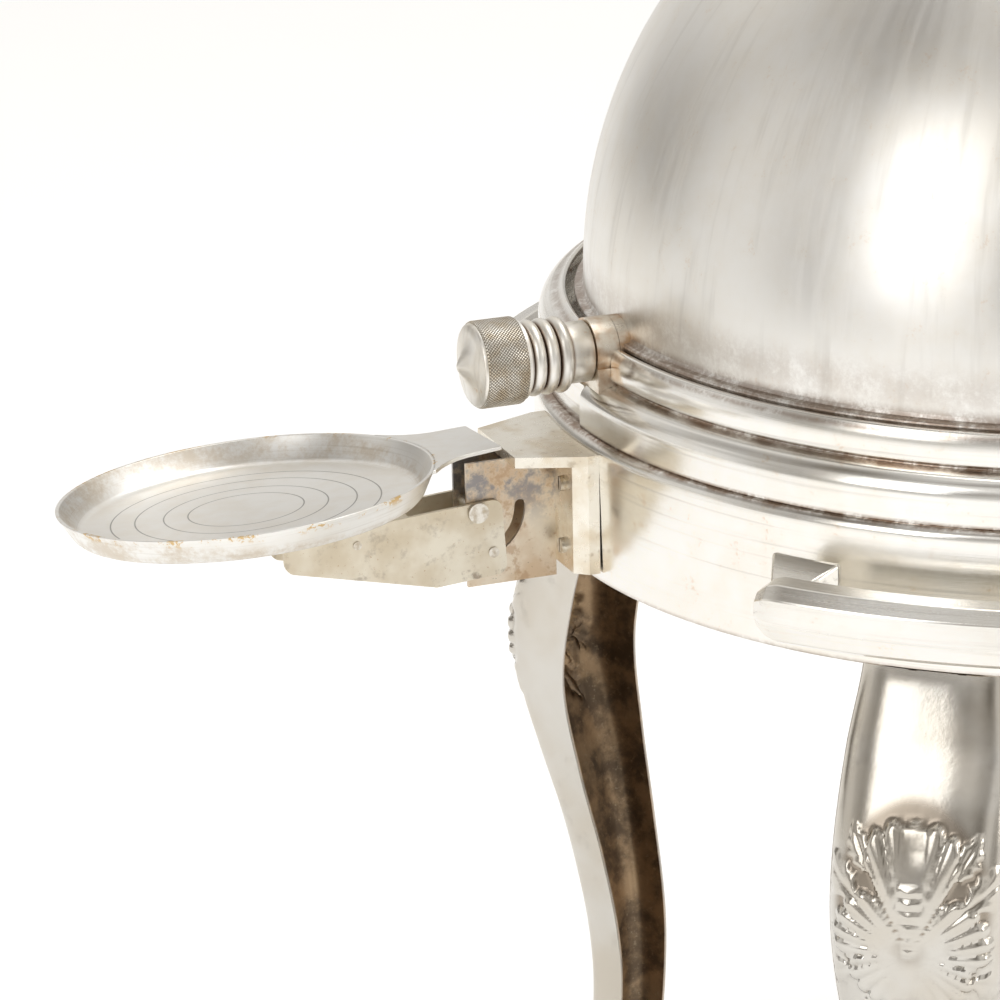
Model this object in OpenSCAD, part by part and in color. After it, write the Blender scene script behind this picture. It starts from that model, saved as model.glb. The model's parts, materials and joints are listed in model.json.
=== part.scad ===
// Round roll-top chafer: a spun dome that rolls back on side trunnions, on a skirted body
// with four cabriole legs, front and rear handle rails and a fold-down side tray.

/* [Body] */
// Height of the rim lip above the floor
lip_z = 500; // [440:5:600]
// Radius of the rim lip
lip_r = 238; // [236.5:0.5:242]
// Height from the rim lip down to the seam with the skirt
rim_h = 39.5; // [36:0.5:44]
// Outer radius of the skirt
skirt_r = 254.5; // [253:0.5:260]
// Height of the skirt below the seam
skirt_h = 66.5; // [58:0.5:76]
// Wall of the rim, collar and skirt
body_wall = 1.6; // [1.2:0.1:2.4]

/* [Dome] */
// Outer radius of the dome
dome_r = 230; // [222:0.5:230]
// Height of the dome's centre above the rim lip
dome_rise = 8; // [4:0.5:8]
// Wall of the dome
dome_wall = 1.5; // [1:0.1:2]
// Distance of the trunnion axis below the rim lip
trunnion_drop = 3.4; // [2:0.1:5]
// How far the rear collar's circle is set back, for the dome to pass
collar_set_back = 6; // [5:0.5:8]

/* [Turning knobs] */
// Radius of the bearing journal
journal_r = 12; // [9:0.5:12]
// Radial running clearance of the journal
journal_fit = 0.05; // [0.02:0.01:0.1]
// Length of the bearing along the axis
bearing_l = 11; // [8:0.5:14]
// Radius of the knurled head
head_r = 20.2; // [18:0.2:22]
// Length of the knurled head
head_l = 20; // [16:0.5:24]
// Number of cooling ribs on each knob
rib_count = 3; // [2:1:4]
// Pitch of the cooling ribs
rib_pitch = 6.6; // [5:0.2:7]

/* [Legs] */
// Angle of each leg from the trunnion axis
leg_angle = 50; // [46:1:54]
// Thickness of the leg's sheet
leg_wall = 2.5; // [2:0.1:3]
// Half the width of the leg at its knee
leg_half_w = 41.5; // [36:0.5:44]

/* [Handle rails] */
// Radius of the middle of the rail
rail_r = 283; // [280:0.5:290]
// Half the angle that each rail covers
rail_half_angle = 55; // [48:1:58]
// Height of the rail's section
rail_h = 29; // [20:0.5:30]

/* [Side tray] */
// Radius of the tray's rim
tray_r = 86.5; // [80:0.5:92]
// Depth of the tray
tray_depth = 13; // [10:0.5:16]
// Distance of the tray's centre from the body's axis
tray_x = 410; // [402:1:420]
// How far the tray holder is set towards the rear
tray_y = 6; // [0:0.5:10]
// Downward lean of the tray and its arm at rest
tray_droop = 4; // [0:0.5:5]
// Lean of the tray's plate towards the rear
tray_twist = 5.5; // [0:0.5:6]
// Angle through which the tray folds down
tray_fold = 70; // [60:1:72]
// Distance of the fold pivot from the body's axis
pivot_x = 303; // [301:0.5:306]
// Depth of the fold pivot below the rim lip
pivot_drop = 72; // [70:0.5:74]
// Radius on which the guide pin travels
guide_r = 21.5; // [20:0.5:22]
// Radius of the guide pin
guide_pin_r = 2.5; // [2:0.1:2.7]

/* [Pans and burner] */
// Radius of the water pan's wall
water_pan_r = 209; // [200:1:209]
// Depth of the water pan below its flange
water_pan_depth = 60; // [45:1:60]
// Depth of the food pan below its flange
food_pan_depth = 42; // [30:1:44]
// Wall of both pans
pan_wall = 1.2; // [1:0.1:1.6]
// Radius of the spirit burner
burner_r = 44; // [36:1:48]
// Height of the spirit burner
burner_h = 46; // [38:1:48]

/* [Hidden] */

$fn = 128;
eps = 0.01;
big = 600;
gap = 0.3;                                  // clearance between parts that move past each other

trunnion_z = -trunnion_drop;
skirt_bottom = -rim_h - skirt_h;
floor_z = -lip_z;
flange_r = lip_r + 3;                       // inner edge of the skirt's top flange
shoulder_r = skirt_r - 4;                   // top outer edge of the skirt's shoulder
brim_r = lip_r - body_wall - 2;             // outer edge of the dome's brim
bearing_x = lip_r - 2.5;                    // inner face of each bearing
bearing_r = journal_r + 3.2;
neck_x = bearing_x + bearing_l + gap;
neck_l = 11;
rib_r = head_r - 2.4;
ribs_l = rib_count * rib_pitch;
collar_l = 3.4;
head_x = neck_x + neck_l + ribs_l + collar_l;
tip_h = 8.5;                                // height of the cone on the knob's end
knob_end = head_x + head_l + tip_h;
spigot_r = 8;

// The tray's rim reaches furthest to the left and the knob's cone furthest to the right.
tray_tilt_x = 350;
left_reach = tray_tilt_x + (tray_x + tray_r - tray_tilt_x) * cos(tray_droop);
origin_x = (left_reach - knob_end) / 2;

module placed() { translate([origin_x, 0, lip_z]) children(); }
module ring_of(start = 0, sweep = 360) { rotate([0, 0, start]) rotate_extrude(angle = sweep) children(); }
module along_x() { rotate([0, 90, 0]) children(); }
module on_side(side) { if (side > 0) children(); else mirror([1, 0, 0]) children(); }
module at_trunnion() { translate([0, 0, trunnion_z]) children(); }

// An arc of points from angle a to angle b round centre c.
function arc(c, r, a, b, n = 10) = [for (i = [0:n]) c + r * [cos(a + (b - a) * i / n), sin(a + (b - a) * i / n)]];
// A smooth curve through the given points.
function curve(p, n = 4) = concat([for (i = [0:len(p) - 2]) each [for (j = [0:n - 1]) spline_point(p, i, j / n)]], [p[len(p) - 1]]);
function spline_point(p, i, t) =
    let (a = p[max(i - 1, 0)], b = p[i], c = p[i + 1], d = p[min(i + 2, len(p) - 1)])
    0.5 * (2 * b + (c - a) * t + (2 * a - 5 * b + 4 * c - d) * t * t + (3 * b - a - 3 * c + d) * t * t * t);

// ---- Body -------------------------------------------------------------------------------

foot_flange_r = skirt_r - 14;               // inner edge of the flange that the legs bolt to

module skirt_profile() {
    top = -rim_h;
    polygon(concat(
        [[flange_r, top], [shoulder_r - 1, top]],
        arc([shoulder_r - 1, top - 5], 5, 90, 0),
        [[skirt_r, top - 9], [skirt_r - 0.8, skirt_bottom + 1], [skirt_r - 1.8, skirt_bottom],
         [foot_flange_r, skirt_bottom], [foot_flange_r, skirt_bottom + body_wall],
         [skirt_r - body_wall - 1, skirt_bottom + body_wall], [skirt_r - body_wall, top - 9],
         [shoulder_r - 1, top - body_wall], [flange_r, top - body_wall]]));
}

module body_skirt() {
    color([0.80, 0.78, 0.74]) placed() difference() {
        ring_of() skirt_profile();
        rail_bolt_holes(1);
        rail_bolt_holes(-1);
        bracket_screw_holes();
        burner_screw_holes();
        for (a = leg_angles) at_angle(a) leg_screw_holes();
    }
}

// A seat for each bearing is notched into the top of the rim and the collar.
saddle_w = 2 * bearing_r;
seat_z = trunnion_z - journal_r - 4.6;
module bearing_gap() {
    length = 2 * bearing_l + 14;
    for (side = [-1, 1]) translate([side * (bearing_x + bearing_l / 2) - length / 2, -saddle_w / 2 - gap, seat_z])
        cube([length, saddle_w + 2 * gap, big]);
}

// Two stepped bands, with a lip round the dome's brim and a ledge for it to rest on.
module rim_profile() {
    step = -16;
    ledge = -1.5;
    polygon(concat(
        [[lip_r - body_wall, 0], [lip_r, 0], [lip_r + 2.2, -1.5], [lip_r + 3, -6], [lip_r + 3, -12]],
        [[lip_r + 1, step], [lip_r + 1.2, step - 0.8]],
        arc([shoulder_r - 10.5, step - 11], 10, 85, 0),
        [[shoulder_r - 0.5, -rim_h], [flange_r, -rim_h], [lip_r - body_wall, step - 2],
         [lip_r - body_wall, ledge - 1.5], [lip_r - body_wall - 4, ledge - 1.5],
         [lip_r - body_wall - 4, ledge], [lip_r - body_wall, ledge]]));
}

module rim_ring() {
    color([0.84, 0.82, 0.78]) placed() difference() {
        ring_of(180, 180) rim_profile();
        bearing_gap();
    }
}

// Behind the trunnions the rim is one rounded collar, set back so that the dome passes inside.
module collar_profile() {
    foot_r = shoulder_r - 3;
    polygon(concat(
        [[lip_r - body_wall, 0], [lip_r, 0.3]],
        arc([lip_r - 1, -14], 12.5, 72, 0),
        [[foot_r - 0.5, -22], [foot_r, -rim_h], [foot_r - body_wall, -rim_h], [foot_r - body_wall - 0.5, -22]],
        arc([lip_r - 1, -14], 12.5 - body_wall, 0, 72),
        [[lip_r - body_wall, -2]]));
}

module rear_collar() {
    color([0.84, 0.81, 0.77]) placed() difference() {
        translate([0, collar_set_back, 0]) ring_of() collar_profile();
        translate([-big, -2 * big, -big]) cube([2 * big, 2 * big, 2 * big]);
        bearing_gap();
    }
}

// ---- Bearings ---------------------------------------------------------------------------

saddle_top = trunnion_z - 5;
module journal_bore() { at_trunnion() along_x() cylinder(r = journal_r + journal_fit, h = big); }

module bearing_saddle(side) {
    color([0.62, 0.52, 0.40]) placed() on_side(side) difference() {
        translate([bearing_x, -saddle_w / 2, seat_z]) cube([bearing_l, saddle_w, saddle_top - seat_z]);
        journal_bore();
    }
}
module bearing_saddle_left() { bearing_saddle(-1); }
module bearing_saddle_right() { bearing_saddle(1); }

module bearing_cap(side) {
    color([0.80, 0.77, 0.71]) placed() on_side(side) difference() {
        intersection() {
            translate([bearing_x, 0, trunnion_z]) along_x() cylinder(r = bearing_r, h = bearing_l);
            translate([0, -big / 2, saddle_top]) cube([big, big, big]);
        }
        journal_bore();
        cap_screw_holes();
    }
}
module bearing_cap_left() { bearing_cap(-1); }
module bearing_cap_right() { bearing_cap(1); }

// Two dowel screws go up through the saddle's edges into each cap.
cap_screw_r = 0.9;
cap_screw_top = 3;
module cap_screw_holes() {
    for (s = [-1, 1]) translate([bearing_x + bearing_l / 2, s * (bearing_r - 1.7), trunnion_z - 12])
        cylinder(r = cap_screw_r, h = 12 + cap_screw_top, $fn = 24);
}
module bearing_cap_screws() {
    color([0.55, 0.50, 0.44]) placed() for (side = [-1, 1]) on_side(side)
        intersection() {
            cap_screw_holes();
            translate([0, -big / 2, saddle_top]) cube([big, big, big]);
        }
}

// ---- Pan frame --------------------------------------------------------------------------

frame_top = -11;
frame_bar = 3;
frame_inner = water_pan_r + gap + 1;
frame_outer = lip_r - 16;
frame_arm_angles = [-150, -90, -30];
arm_z = -rim_h - body_wall - 8;              // top of each arm's foot, below the shoulder
arm_w = 22;

module at_angle(a) { rotate([0, 0, a]) children(); }

module pan_frame() {
    color([0.70, 0.66, 0.60]) placed()
        ring_of() translate([frame_inner, frame_top - frame_bar]) square([frame_outer - frame_inner, frame_bar]);
}

// Three cranked arms in the front half, clear of the dome, carry the frame from the skirt.
skirt_inner_r = skirt_r - body_wall - 0.35;   // flat feet meet the curved wall at their edges
module frame_arm_profile() {
    t = 3;
    polygon([[frame_outer - 9, frame_top - frame_bar], [frame_outer, frame_top - frame_bar],
             [frame_outer, arm_z], [skirt_inner_r, arm_z], [skirt_inner_r, arm_z - 14],
             [skirt_inner_r - t, arm_z - 14], [skirt_inner_r - t, arm_z - t],
             [frame_outer - t, arm_z - t], [frame_outer - t, frame_top - frame_bar - t],
             [frame_outer - 9, frame_top - frame_bar - t]]);
}
module pan_frame_arms() {
    color([0.66, 0.62, 0.56]) placed() for (a = frame_arm_angles) at_angle(a)
        rotate([90, 0, 0]) translate([0, 0, -arm_w / 2]) linear_extrude(arm_w) frame_arm_profile();
}

// ---- Legs -------------------------------------------------------------------------------

leg_angles = [180 + leg_angle, -leg_angle, 180 - leg_angle, leg_angle];
leg_top = skirt_bottom;
leg_h = lip_z + leg_top;                    // from the skirt down to the floor
pad_h = 4;

// Each point is [reach beyond the skirt, share of the leg's height from the top].
leg_out = [[0, 0], [10, 0.07], [25, 0.14], [35, 0.21], [39, 0.28], [35, 0.35], [26, 0.43], [16, 0.51],
           [8, 0.60], [2, 0.69], [0, 0.78], [3, 0.87], [11, 0.94], [21, 1]];
leg_in = [[-28, 0], [-16, 0.10], [-5, 0.21], [2, 0.33], [-4, 0.45], [-14, 0.58], [-21, 0.70], [-21, 0.80],
          [-16, 0.90], [-8, 1]];
// Each point is [share of the half width, share of the height].
leg_width = [[0.85, 0], [0.95, 0.09], [1, 0.22], [0.97, 0.32], [0.86, 0.45], [0.72, 0.58], [0.64, 0.70],
             [0.62, 0.80], [0.68, 0.90], [0.80, 1]];

function leg_reach(p) = [for (q = p) [skirt_r - 1 + q[0], leg_top - q[1] * (leg_h - pad_h)]];
function leg_side(p, inset = 0) = [for (q = p) [q[0] * leg_half_w - inset, leg_top - q[1] * (leg_h - pad_h)]];
function flipped(p) = [for (i = [len(p) - 1:-1:0]) [-p[i][0], p[i][1]]];
function reversed(p) = [for (i = [len(p) - 1:-1:0]) p[i]];

module leg_side_view(outer, inner) {
    rotate([90, 0, 0]) translate([0, 0, -big / 2]) linear_extrude(big)
        polygon(concat(curve(outer), reversed(curve(inner))));
}
module leg_front_view(inset) {
    side = curve(leg_side(leg_width, inset));
    rotate([90, 0, 90]) linear_extrude(big) polygon(concat(side, flipped(side)));
}
function shifted(p, dx) = [for (q = p) [q[0] + dx, q[1]]];

module leg_shell() {
    outer = leg_reach(leg_out);
    difference() {
        intersection() {
            leg_side_view(outer, leg_reach(leg_in));
            leg_front_view(0);
        }
        difference() {
            intersection() {
                leg_side_view(shifted(outer, -leg_wall), [[0, leg_top], [0, floor_z]]);
                leg_front_view(leg_wall);
            }
            translate([0, -big / 2, leg_top - leg_wall]) cube([big, big, leg_wall + eps]);
        }
        leg_screw_holes();
    }
}
leg_block = [20, 40, 8];
leg_block_x = foot_flange_r - 1;
module leg_screw_holes() {
    for (s = [-1, 1]) translate([leg_block_x + 6, s * 11, leg_top - 16]) cylinder(r = 2, h = 26, $fn = 32);
}
module leg(i) { color([0.82, 0.80, 0.76]) placed() at_angle(leg_angles[i]) leg_shell(); }
module leg_front_left() { leg(0); }
module leg_front_right() { leg(1); }
module leg_rear_left() { leg(2); }
module leg_rear_right() { leg(3); }

// A plate above the flange takes the two screws that hold each leg.
module leg_blocks() {
    color([0.60, 0.56, 0.50]) placed() for (a = leg_angles) at_angle(a) difference() {
        intersection() {
            translate([leg_block_x, -leg_block[1] / 2, leg_top + body_wall]) cube([leg_block[0], leg_block[1], 4]);
            translate([0, 0, leg_top]) cylinder(r = skirt_r - body_wall - 1.4, h = 20);
        }
        leg_screw_holes();
    }
}
module leg_screws() {
    color([0.58, 0.55, 0.50]) placed() for (a = leg_angles) at_angle(a) for (s = [-1, 1])
        translate([leg_block_x + 6, s * 11, leg_top - leg_wall]) {
            cylinder(r = 2, h = leg_wall + body_wall + 4, $fn = 32);
            translate([0, 0, -2.4]) cylinder(r = 4, h = 2.4, $fn = 32);
        }
}

// A low domed flower lies on the outer face of each knee.
flower_r = 33;
module leg_flowers() {
    knee = leg_top - 0.25 * (leg_h - pad_h);
    color([0.78, 0.76, 0.71]) placed() for (a = leg_angles) at_angle(a) difference() {
        intersection() {
            leg_side_view(shifted(leg_reach(leg_out), 4), [[skirt_r, leg_top], [skirt_r, floor_z]]);
            translate([0, 0, knee]) along_x() cylinder(r = flower_r, h = big);
        }
        leg_side_view(leg_reach(leg_out), [[0, leg_top], [0, floor_z]]);
    }
}

module foot_pads() {
    color([0.12, 0.12, 0.12]) placed() for (a = leg_angles) at_angle(a)
        translate([skirt_r + 4, 0, floor_z]) cylinder(r = 15, h = pad_h);
}

// ---- Handle rails -----------------------------------------------------------------------

rail_z = -76;
rail_boss_angle = rail_half_angle - 1.5;
module rail_profile() {
    h = rail_h / 2;
    translate([rail_r, rail_z]) polygon([[-8, h - 3], [-5, h], [3, h - 1.5], [7.5, h - 7], [8.5, -h + 11],
                                         [5.5, -h + 3], [0, -h], [-8, -h + 2]]);
}
rear_rail_lift = 16;
function rail_lift(end) = end > 0 ? rear_rail_lift : 0;
module rail(end) {
    color([0.83, 0.81, 0.77]) placed() translate([0, 0, rail_lift(end)])
        ring_of(end * 90 - rail_half_angle, 2 * rail_half_angle) rail_profile();
}
module front_rail() { rail(-1); }
module rear_rail() { rail(1); }

function rail_angles(end) = [end * 90 - rail_boss_angle, end * 90 + rail_boss_angle];
boss_h = 30;
boss_w = 34;
boss_tip = 12;
rail_inner = rail_r - 8;

// Each boss is a square pyramid against the skirt, with a flat where the rail is bolted on.
module boss() {
    difference() {
        intersection() {
            rotate([90, 0, 0]) translate([0, 0, -big / 2]) linear_extrude(big)
                polygon([[skirt_r - 5, rail_z - boss_h / 2], [rail_inner, rail_z - boss_tip / 2],
                         [rail_inner, rail_z + boss_tip / 2], [skirt_r - 5, rail_z + boss_h / 2]]);
            translate([0, 0, -big / 2]) linear_extrude(big)
                polygon([[skirt_r - 5, -boss_w / 2], [rail_inner, -boss_tip / 2],
                         [rail_inner, boss_tip / 2], [skirt_r - 5, boss_w / 2]]);
        }
        translate([0, 0, -big / 2]) cylinder(r = skirt_r, h = big);
        ring_of() translate([rail_inner, -big / 2]) square([big, big]);
        rail_bolt_hole();
    }
}
module rail_bolt_hole() { translate([skirt_r - 16, 0, rail_z]) along_x() cylinder(r = 2.5, h = rail_inner - skirt_r + 16, $fn = 32); }
module rail_bolt_holes(end) {
    translate([0, 0, rail_lift(end)]) for (a = rail_angles(end)) at_angle(a) rail_bolt_hole();
}
module bosses(end) {
    color([0.80, 0.77, 0.72]) placed() translate([0, 0, rail_lift(end)])
        for (a = rail_angles(end)) at_angle(a) boss();
}
module front_rail_bosses() { bosses(-1); }
module rear_rail_bosses() { bosses(1); }
module rail_bolts() {
    inside = skirt_r - body_wall - 0.8;
    color([0.60, 0.57, 0.52]) placed() for (end = [-1, 1]) for (a = rail_angles(end)) at_angle(a)
        translate([0, 0, rail_z + rail_lift(end)]) along_x() {
            translate([0, 0, inside - 4]) cylinder(r = 2.5, h = rail_inner - inside + 3.9, $fn = 32);
            translate([0, 0, inside - 4]) cylinder(r = 5, h = 3.4, $fn = 32);
        }
}

// ---- Side tray holder, on the left -------------------------------------------------------

bracket_z = -rim_h - 4.5;                   // top face of the bracket
plate_t = 5;
bracket_out = 289;
bracket_face = skirt_r + 9.5;               // outer face of the vertical plate
bracket_bottom = skirt_bottom + 5;
channel_w = 19;                             // outside width of the channel
sheet = 1.8;
channel_top = bracket_z - plate_t;
channel_bottom = skirt_bottom - 2.5;
channel_end = 307.5;
arm_gap = 0.5;

module holder() { translate([0, tray_y, 0]) mirror([1, 0, 0]) children(); }

// The top plate narrows outwards and the vertical plate stands off the skirt's curve.
module tray_bracket() {
    inner = skirt_r - 12;
    color([0.85, 0.80, 0.68]) placed() difference() {
        holder() difference() {
            union() {
                translate([0, 0, channel_top]) linear_extrude(plate_t)
                    polygon([[inner, -36], [bracket_face - 6, -36], [bracket_out, -24], [bracket_out, 24],
                             [bracket_face - 6, 36], [inner, 36]]);
                translate([0, 0, bracket_bottom]) linear_extrude(channel_top - bracket_bottom)
                    polygon([[inner, -36], [bracket_face - 6, -36], [bracket_face, -31], [bracket_face, 31],
                             [bracket_face - 6, 36], [inner, 36]]);
            }
            channel_rivet_holes();
        }
        translate([0, 0, -big / 2]) cylinder(r = skirt_r, h = big);
        bracket_screw_holes();
    }
}

bracket_screw_y = 19;
bracket_screw_z = [bracket_z - 17, bracket_z - 47];
module bracket_screw_holes() {
    holder() for (s = [-1, 1]) for (z = bracket_screw_z)
        translate([skirt_r - 12, s * bracket_screw_y, z]) along_x() cylinder(r = 2, h = bracket_face - skirt_r + 12, $fn = 32);
}
module bracket_screws() {
    color([0.72, 0.70, 0.66]) placed() holder() for (s = [-1, 1]) for (z = bracket_screw_z)
        translate([0, s * bracket_screw_y, z]) along_x() {
            translate([0, 0, skirt_r - 8]) cylinder(r = 2, h = bracket_face - skirt_r + 8, $fn = 32);
            difference() {
                translate([0, 0, bracket_face]) cylinder(r = 3.6, h = 2, $fn = 32);
                translate([-4, -0.5, bracket_face + 1]) cube([8, 1, 2]);
            }
        }
}

module in_plane_y(w) { rotate([90, 0, 0]) translate([0, 0, -w / 2]) linear_extrude(w) children(); }

// The guide slot runs from below the pivot up to level with it.
slot_low = -72;
slot_r = guide_pin_r + 0.25;
module slot_outline() {
    n = 12;
    a0 = slot_low;
    a1 = 0;
    translate([pivot_x, -pivot_drop]) mirror([1, 0, 0]) polygon(concat(
        arc([0, 0], guide_r + slot_r, a0, a1, n),
        arc([guide_r, 0], slot_r, 0, 180, 8),
        arc([0, 0], guide_r - slot_r, a1, a0, n),
        arc(guide_r * [cos(a0), sin(a0)], slot_r, a0 + 180, a0 + 360, 8)));
}
pin_r = 3;
module slotted_channel() {
    half = channel_w / 2;
    color([0.66, 0.62, 0.58]) placed() holder() difference() {
        translate([bracket_face, -half, channel_bottom])
            cube([channel_end - bracket_face, channel_w, channel_top - channel_bottom]);
        translate([bracket_face + sheet, -half + sheet, channel_bottom - 1])
            cube([big, channel_w - 2 * sheet, channel_top - channel_bottom + 2]);
        in_plane_y(big) slot_outline();
        translate([pivot_x, 0, -pivot_drop]) rotate([90, 0, 0]) cylinder(r = pin_r + 0.05, h = big, center = true);
        channel_rivet_holes();
    }
}
rivet_r = 2;
module channel_rivet_holes() {
    for (z = [bracket_z - 20, bracket_z - 44]) translate([bracket_face - 6, 0, z]) along_x()
        cylinder(r = rivet_r, h = 12, $fn = 32);
}
module channel_rivets() {
    color([0.60, 0.56, 0.50]) placed() holder() for (z = [bracket_z - 20, bracket_z - 44])
        translate([bracket_face - 6, 0, z]) along_x() {
            cylinder(r = rivet_r, h = 6 + sheet, $fn = 32);
            translate([0, 0, 6 + sheet]) cylinder(r = 3.4, h = 1.2, $fn = 32);
        }
}

arm_out_w = channel_w + 2 * arm_gap + 2 * sheet;
module pivot_pin() {
    head = 1.4;
    color([0.62, 0.58, 0.50]) placed() holder() translate([pivot_x, 0, -pivot_drop]) rotate([90, 0, 0]) {
        cylinder(r = pin_r, h = arm_out_w + 0.6, center = true);
        for (s = [-1, 1]) translate([0, 0, s * (arm_out_w / 2 + 0.3 + head / 2)]) cylinder(r = pin_r + 1.8, h = head, center = true);
    }
}

// Arm and tray share the droop about the pivot.
module drooped() {
    translate([pivot_x, 0, -pivot_drop]) rotate([0, tray_droop, 0]) translate([-pivot_x, 0, pivot_drop]) children();
}
arm_in = pivot_x - 12;
arm_tip = 397;
arm_top = -pivot_drop + 4.5;
arm_bottom = -pivot_drop - 32;
function arm_outline(inset) = concat(
    arc([arm_in + 5, arm_top - 5], 5 - inset, 180, 90, 5),
    arc([arm_tip - 5, arm_top - 5], 5 - inset, 90, 0, 5),
    arc([arm_tip - 6, arm_top - 10], 6 - inset, 0, -65, 5),
    arc([arm_in + 34, arm_bottom + 6], 6 - inset, -65, -90, 3),
    arc([arm_in + 5, arm_bottom + 5], 5 - inset, -90, -180, 5));

web_start = 336;                            // the web leaves the channel room to turn
module tray_arm() {
    color([0.72, 0.66, 0.56]) placed() holder() drooped() difference() {
        in_plane_y(arm_out_w) polygon(arm_outline(0));
        in_plane_y(arm_out_w - 2 * sheet) translate([0, -sheet]) polygon(
            [[0, arm_top], [0, -big], [arm_tip + 20, -big], [arm_tip + 20, arm_top]]);
        in_plane_y(arm_out_w - 2 * sheet) polygon(
            [[0, 0], [0, -big], [web_start, -big], [web_start, 0]]);
        translate([pivot_x, 0, -pivot_drop]) rotate([90, 0, 0]) cylinder(r = pin_r + 0.05, h = big, center = true);
        guide_pin_place() cylinder(r = guide_pin_r, h = big, center = true, $fn = 32);
        arm_rivet_places() cylinder(r = rivet_r, h = big, center = true, $fn = 32);
    }
}

// The pin stands near the slot's lower end at rest.
guide_angle = slot_low + 2 - tray_droop;
module guide_pin_place() {
    translate([pivot_x - guide_r * cos(guide_angle), 0, -pivot_drop + guide_r * sin(guide_angle)])
        rotate([90, 0, 0]) children();
}
module guide_pin() {
    color([0.58, 0.54, 0.48]) placed() holder() drooped() guide_pin_place()
        cylinder(r = guide_pin_r, h = arm_out_w + 1.6, center = true, $fn = 32);
}

// Tray: a flat-floored dish with a flat tongue level with its rim.
tray_z = bracket_z + 0.5;
tongue_end = bracket_out + 6;
tongue_w = 48;
module tray_leaned() {
    translate([tray_tilt_x, 0, tray_z]) rotate([-tray_twist, tray_droop, 0]) translate([-tray_tilt_x, 0, -tray_z]) children();
}
tray_wall = 1.8;
tray_floor_r = tray_r - 9;
module tray_solid(inset) {
    translate([tray_x, 0, tray_z - tray_depth]) rotate_extrude() polygon([
        [0, inset], [tray_floor_r - inset, inset], [tray_floor_r + 3 - inset, inset + 2],
        [tray_r - inset, tray_depth + (inset > 0 ? 1 : 0)], [0, tray_depth + (inset > 0 ? 1 : 0)]]);
}
module tray() {
    color([0.80, 0.77, 0.70]) placed() holder() tray_leaned() difference() {
        union() {
            tray_solid(0);
            translate([0, 0, tray_z - tray_wall]) linear_extrude(tray_wall) polygon([
                [tongue_end, -tongue_w / 2], [tongue_end + 14, -tongue_w / 2 - 3],
                [tongue_end + 34, -tongue_w / 2 - 13], [tray_x, -tongue_w / 2 - 13],
                [tray_x, tongue_w / 2 + 13], [tongue_end + 34, tongue_w / 2 + 13],
                [tongue_end + 14, tongue_w / 2 + 3], [tongue_end, tongue_w / 2]]);
        }
        tray_solid(tray_wall);
        for (r = [26, 37, 50, 61]) translate([tray_x, 0, tray_z - tray_depth + tray_wall - 0.3])
            rotate_extrude() translate([r, 0]) square([0.6, 1]);
    }
}

// A post between the arm's web and the tray's floor.
module tray_post() {
    color([0.55, 0.48, 0.38]) placed() holder() intersection() {
        tray_leaned() translate([374, 0, tray_z - tray_depth - 40]) cylinder(r = 8, h = 40);
        drooped() translate([0, -big / 2, arm_top]) cube([big, big, big]);
    }
}

module arm_rivet_places() {
    for (x = [362]) translate([x, 0, arm_top - 8]) rotate([90, 0, 0]) children();
}
// A tie rivet through both cheeks keeps the folded arm from spreading.
module arm_rivets() {
    color([0.62, 0.58, 0.52]) placed() holder() drooped() arm_rivet_places()
        cylinder(r = rivet_r, h = arm_out_w + 1.2, center = true, $fn = 32);
}

// ---- Dome -------------------------------------------------------------------------------

dome_foot = 1.2;
module dome() {
    color([0.80, 0.78, 0.74]) placed() difference() {
        translate([0, 0, dome_rise]) rotate_extrude() difference() {
            circle(r = dome_r, $fn = 256);
            circle(r = dome_r - dome_wall, $fn = 256);
            translate([-big, -2 * big + dome_foot - dome_rise]) square([2 * big, 2 * big]);
            translate([-big, -big]) square([big, 2 * big]);
        }
    }
}

function dome_section(z) = sqrt(dome_r * dome_r - pow(z - dome_rise, 2));
module dome_brim() {
    foot_r = dome_section(dome_foot) - dome_wall;
    color([0.76, 0.72, 0.66]) placed() difference() {
        rotate_extrude() polygon(concat(
            [[foot_r, dome_foot], [foot_r, -1.2]],
            [[brim_r - 1.6, -1.2]],
            arc([brim_r - 1.6, 0.4], 1.6, -90, 90, 8),
            [[dome_section(dome_foot) + 1, 2], [dome_section(dome_foot), dome_foot]]));
        for (side = [-1, 1]) on_side(side) at_trunnion() along_x() cylinder(r = stub_r, h = big);
    }
}

stub_r = bearing_r - 0.2;
module trunnion(side) {
    color([0.74, 0.64, 0.52]) placed() on_side(side) difference() {
        at_trunnion() along_x() {
            translate([0, 0, dome_r - 14]) cylinder(r = stub_r, h = bearing_x - gap - dome_r + 14);
            translate([0, 0, dome_r - 4]) cylinder(r = journal_r, h = neck_x - dome_r + 4);
            translate([0, 0, dome_r - 4]) cylinder(r = spigot_r, h = head_x + head_l - 4 - dome_r + 4);
        }
        translate([0, 0, dome_rise]) rotate_extrude() intersection() {
            circle(r = dome_r, $fn = 256);
            translate([0, -big]) square([big, 2 * big]);
        }
    }
}
module trunnion_left() { trunnion(-1); }
module trunnion_right() { trunnion(1); }

// Neck, rounded ribs and plain collar of the heat-shedding knob.
module ribbed_knob(side) {
    neck_r = bearing_r - 1;
    color([0.60, 0.57, 0.50]) placed() on_side(side) at_trunnion() along_x() rotate_extrude() polygon(concat(
        [[spigot_r, neck_x], [neck_r, neck_x], [neck_r, neck_x + neck_l]],
        [for (i = [0:rib_count - 1]) each arc([rib_r - rib_pitch / 2, neck_x + neck_l + (i + 0.5) * rib_pitch],
                                            rib_pitch / 2 - 0.4, -90, 90, 8)],
        [[rib_r - 1, neck_x + neck_l + ribs_l], [rib_r + 0.6, head_x - 2], [rib_r + 0.6, head_x], [spigot_r, head_x]]));
}
module ribbed_knob_left() { ribbed_knob(-1); }
module ribbed_knob_right() { ribbed_knob(1); }

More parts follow.
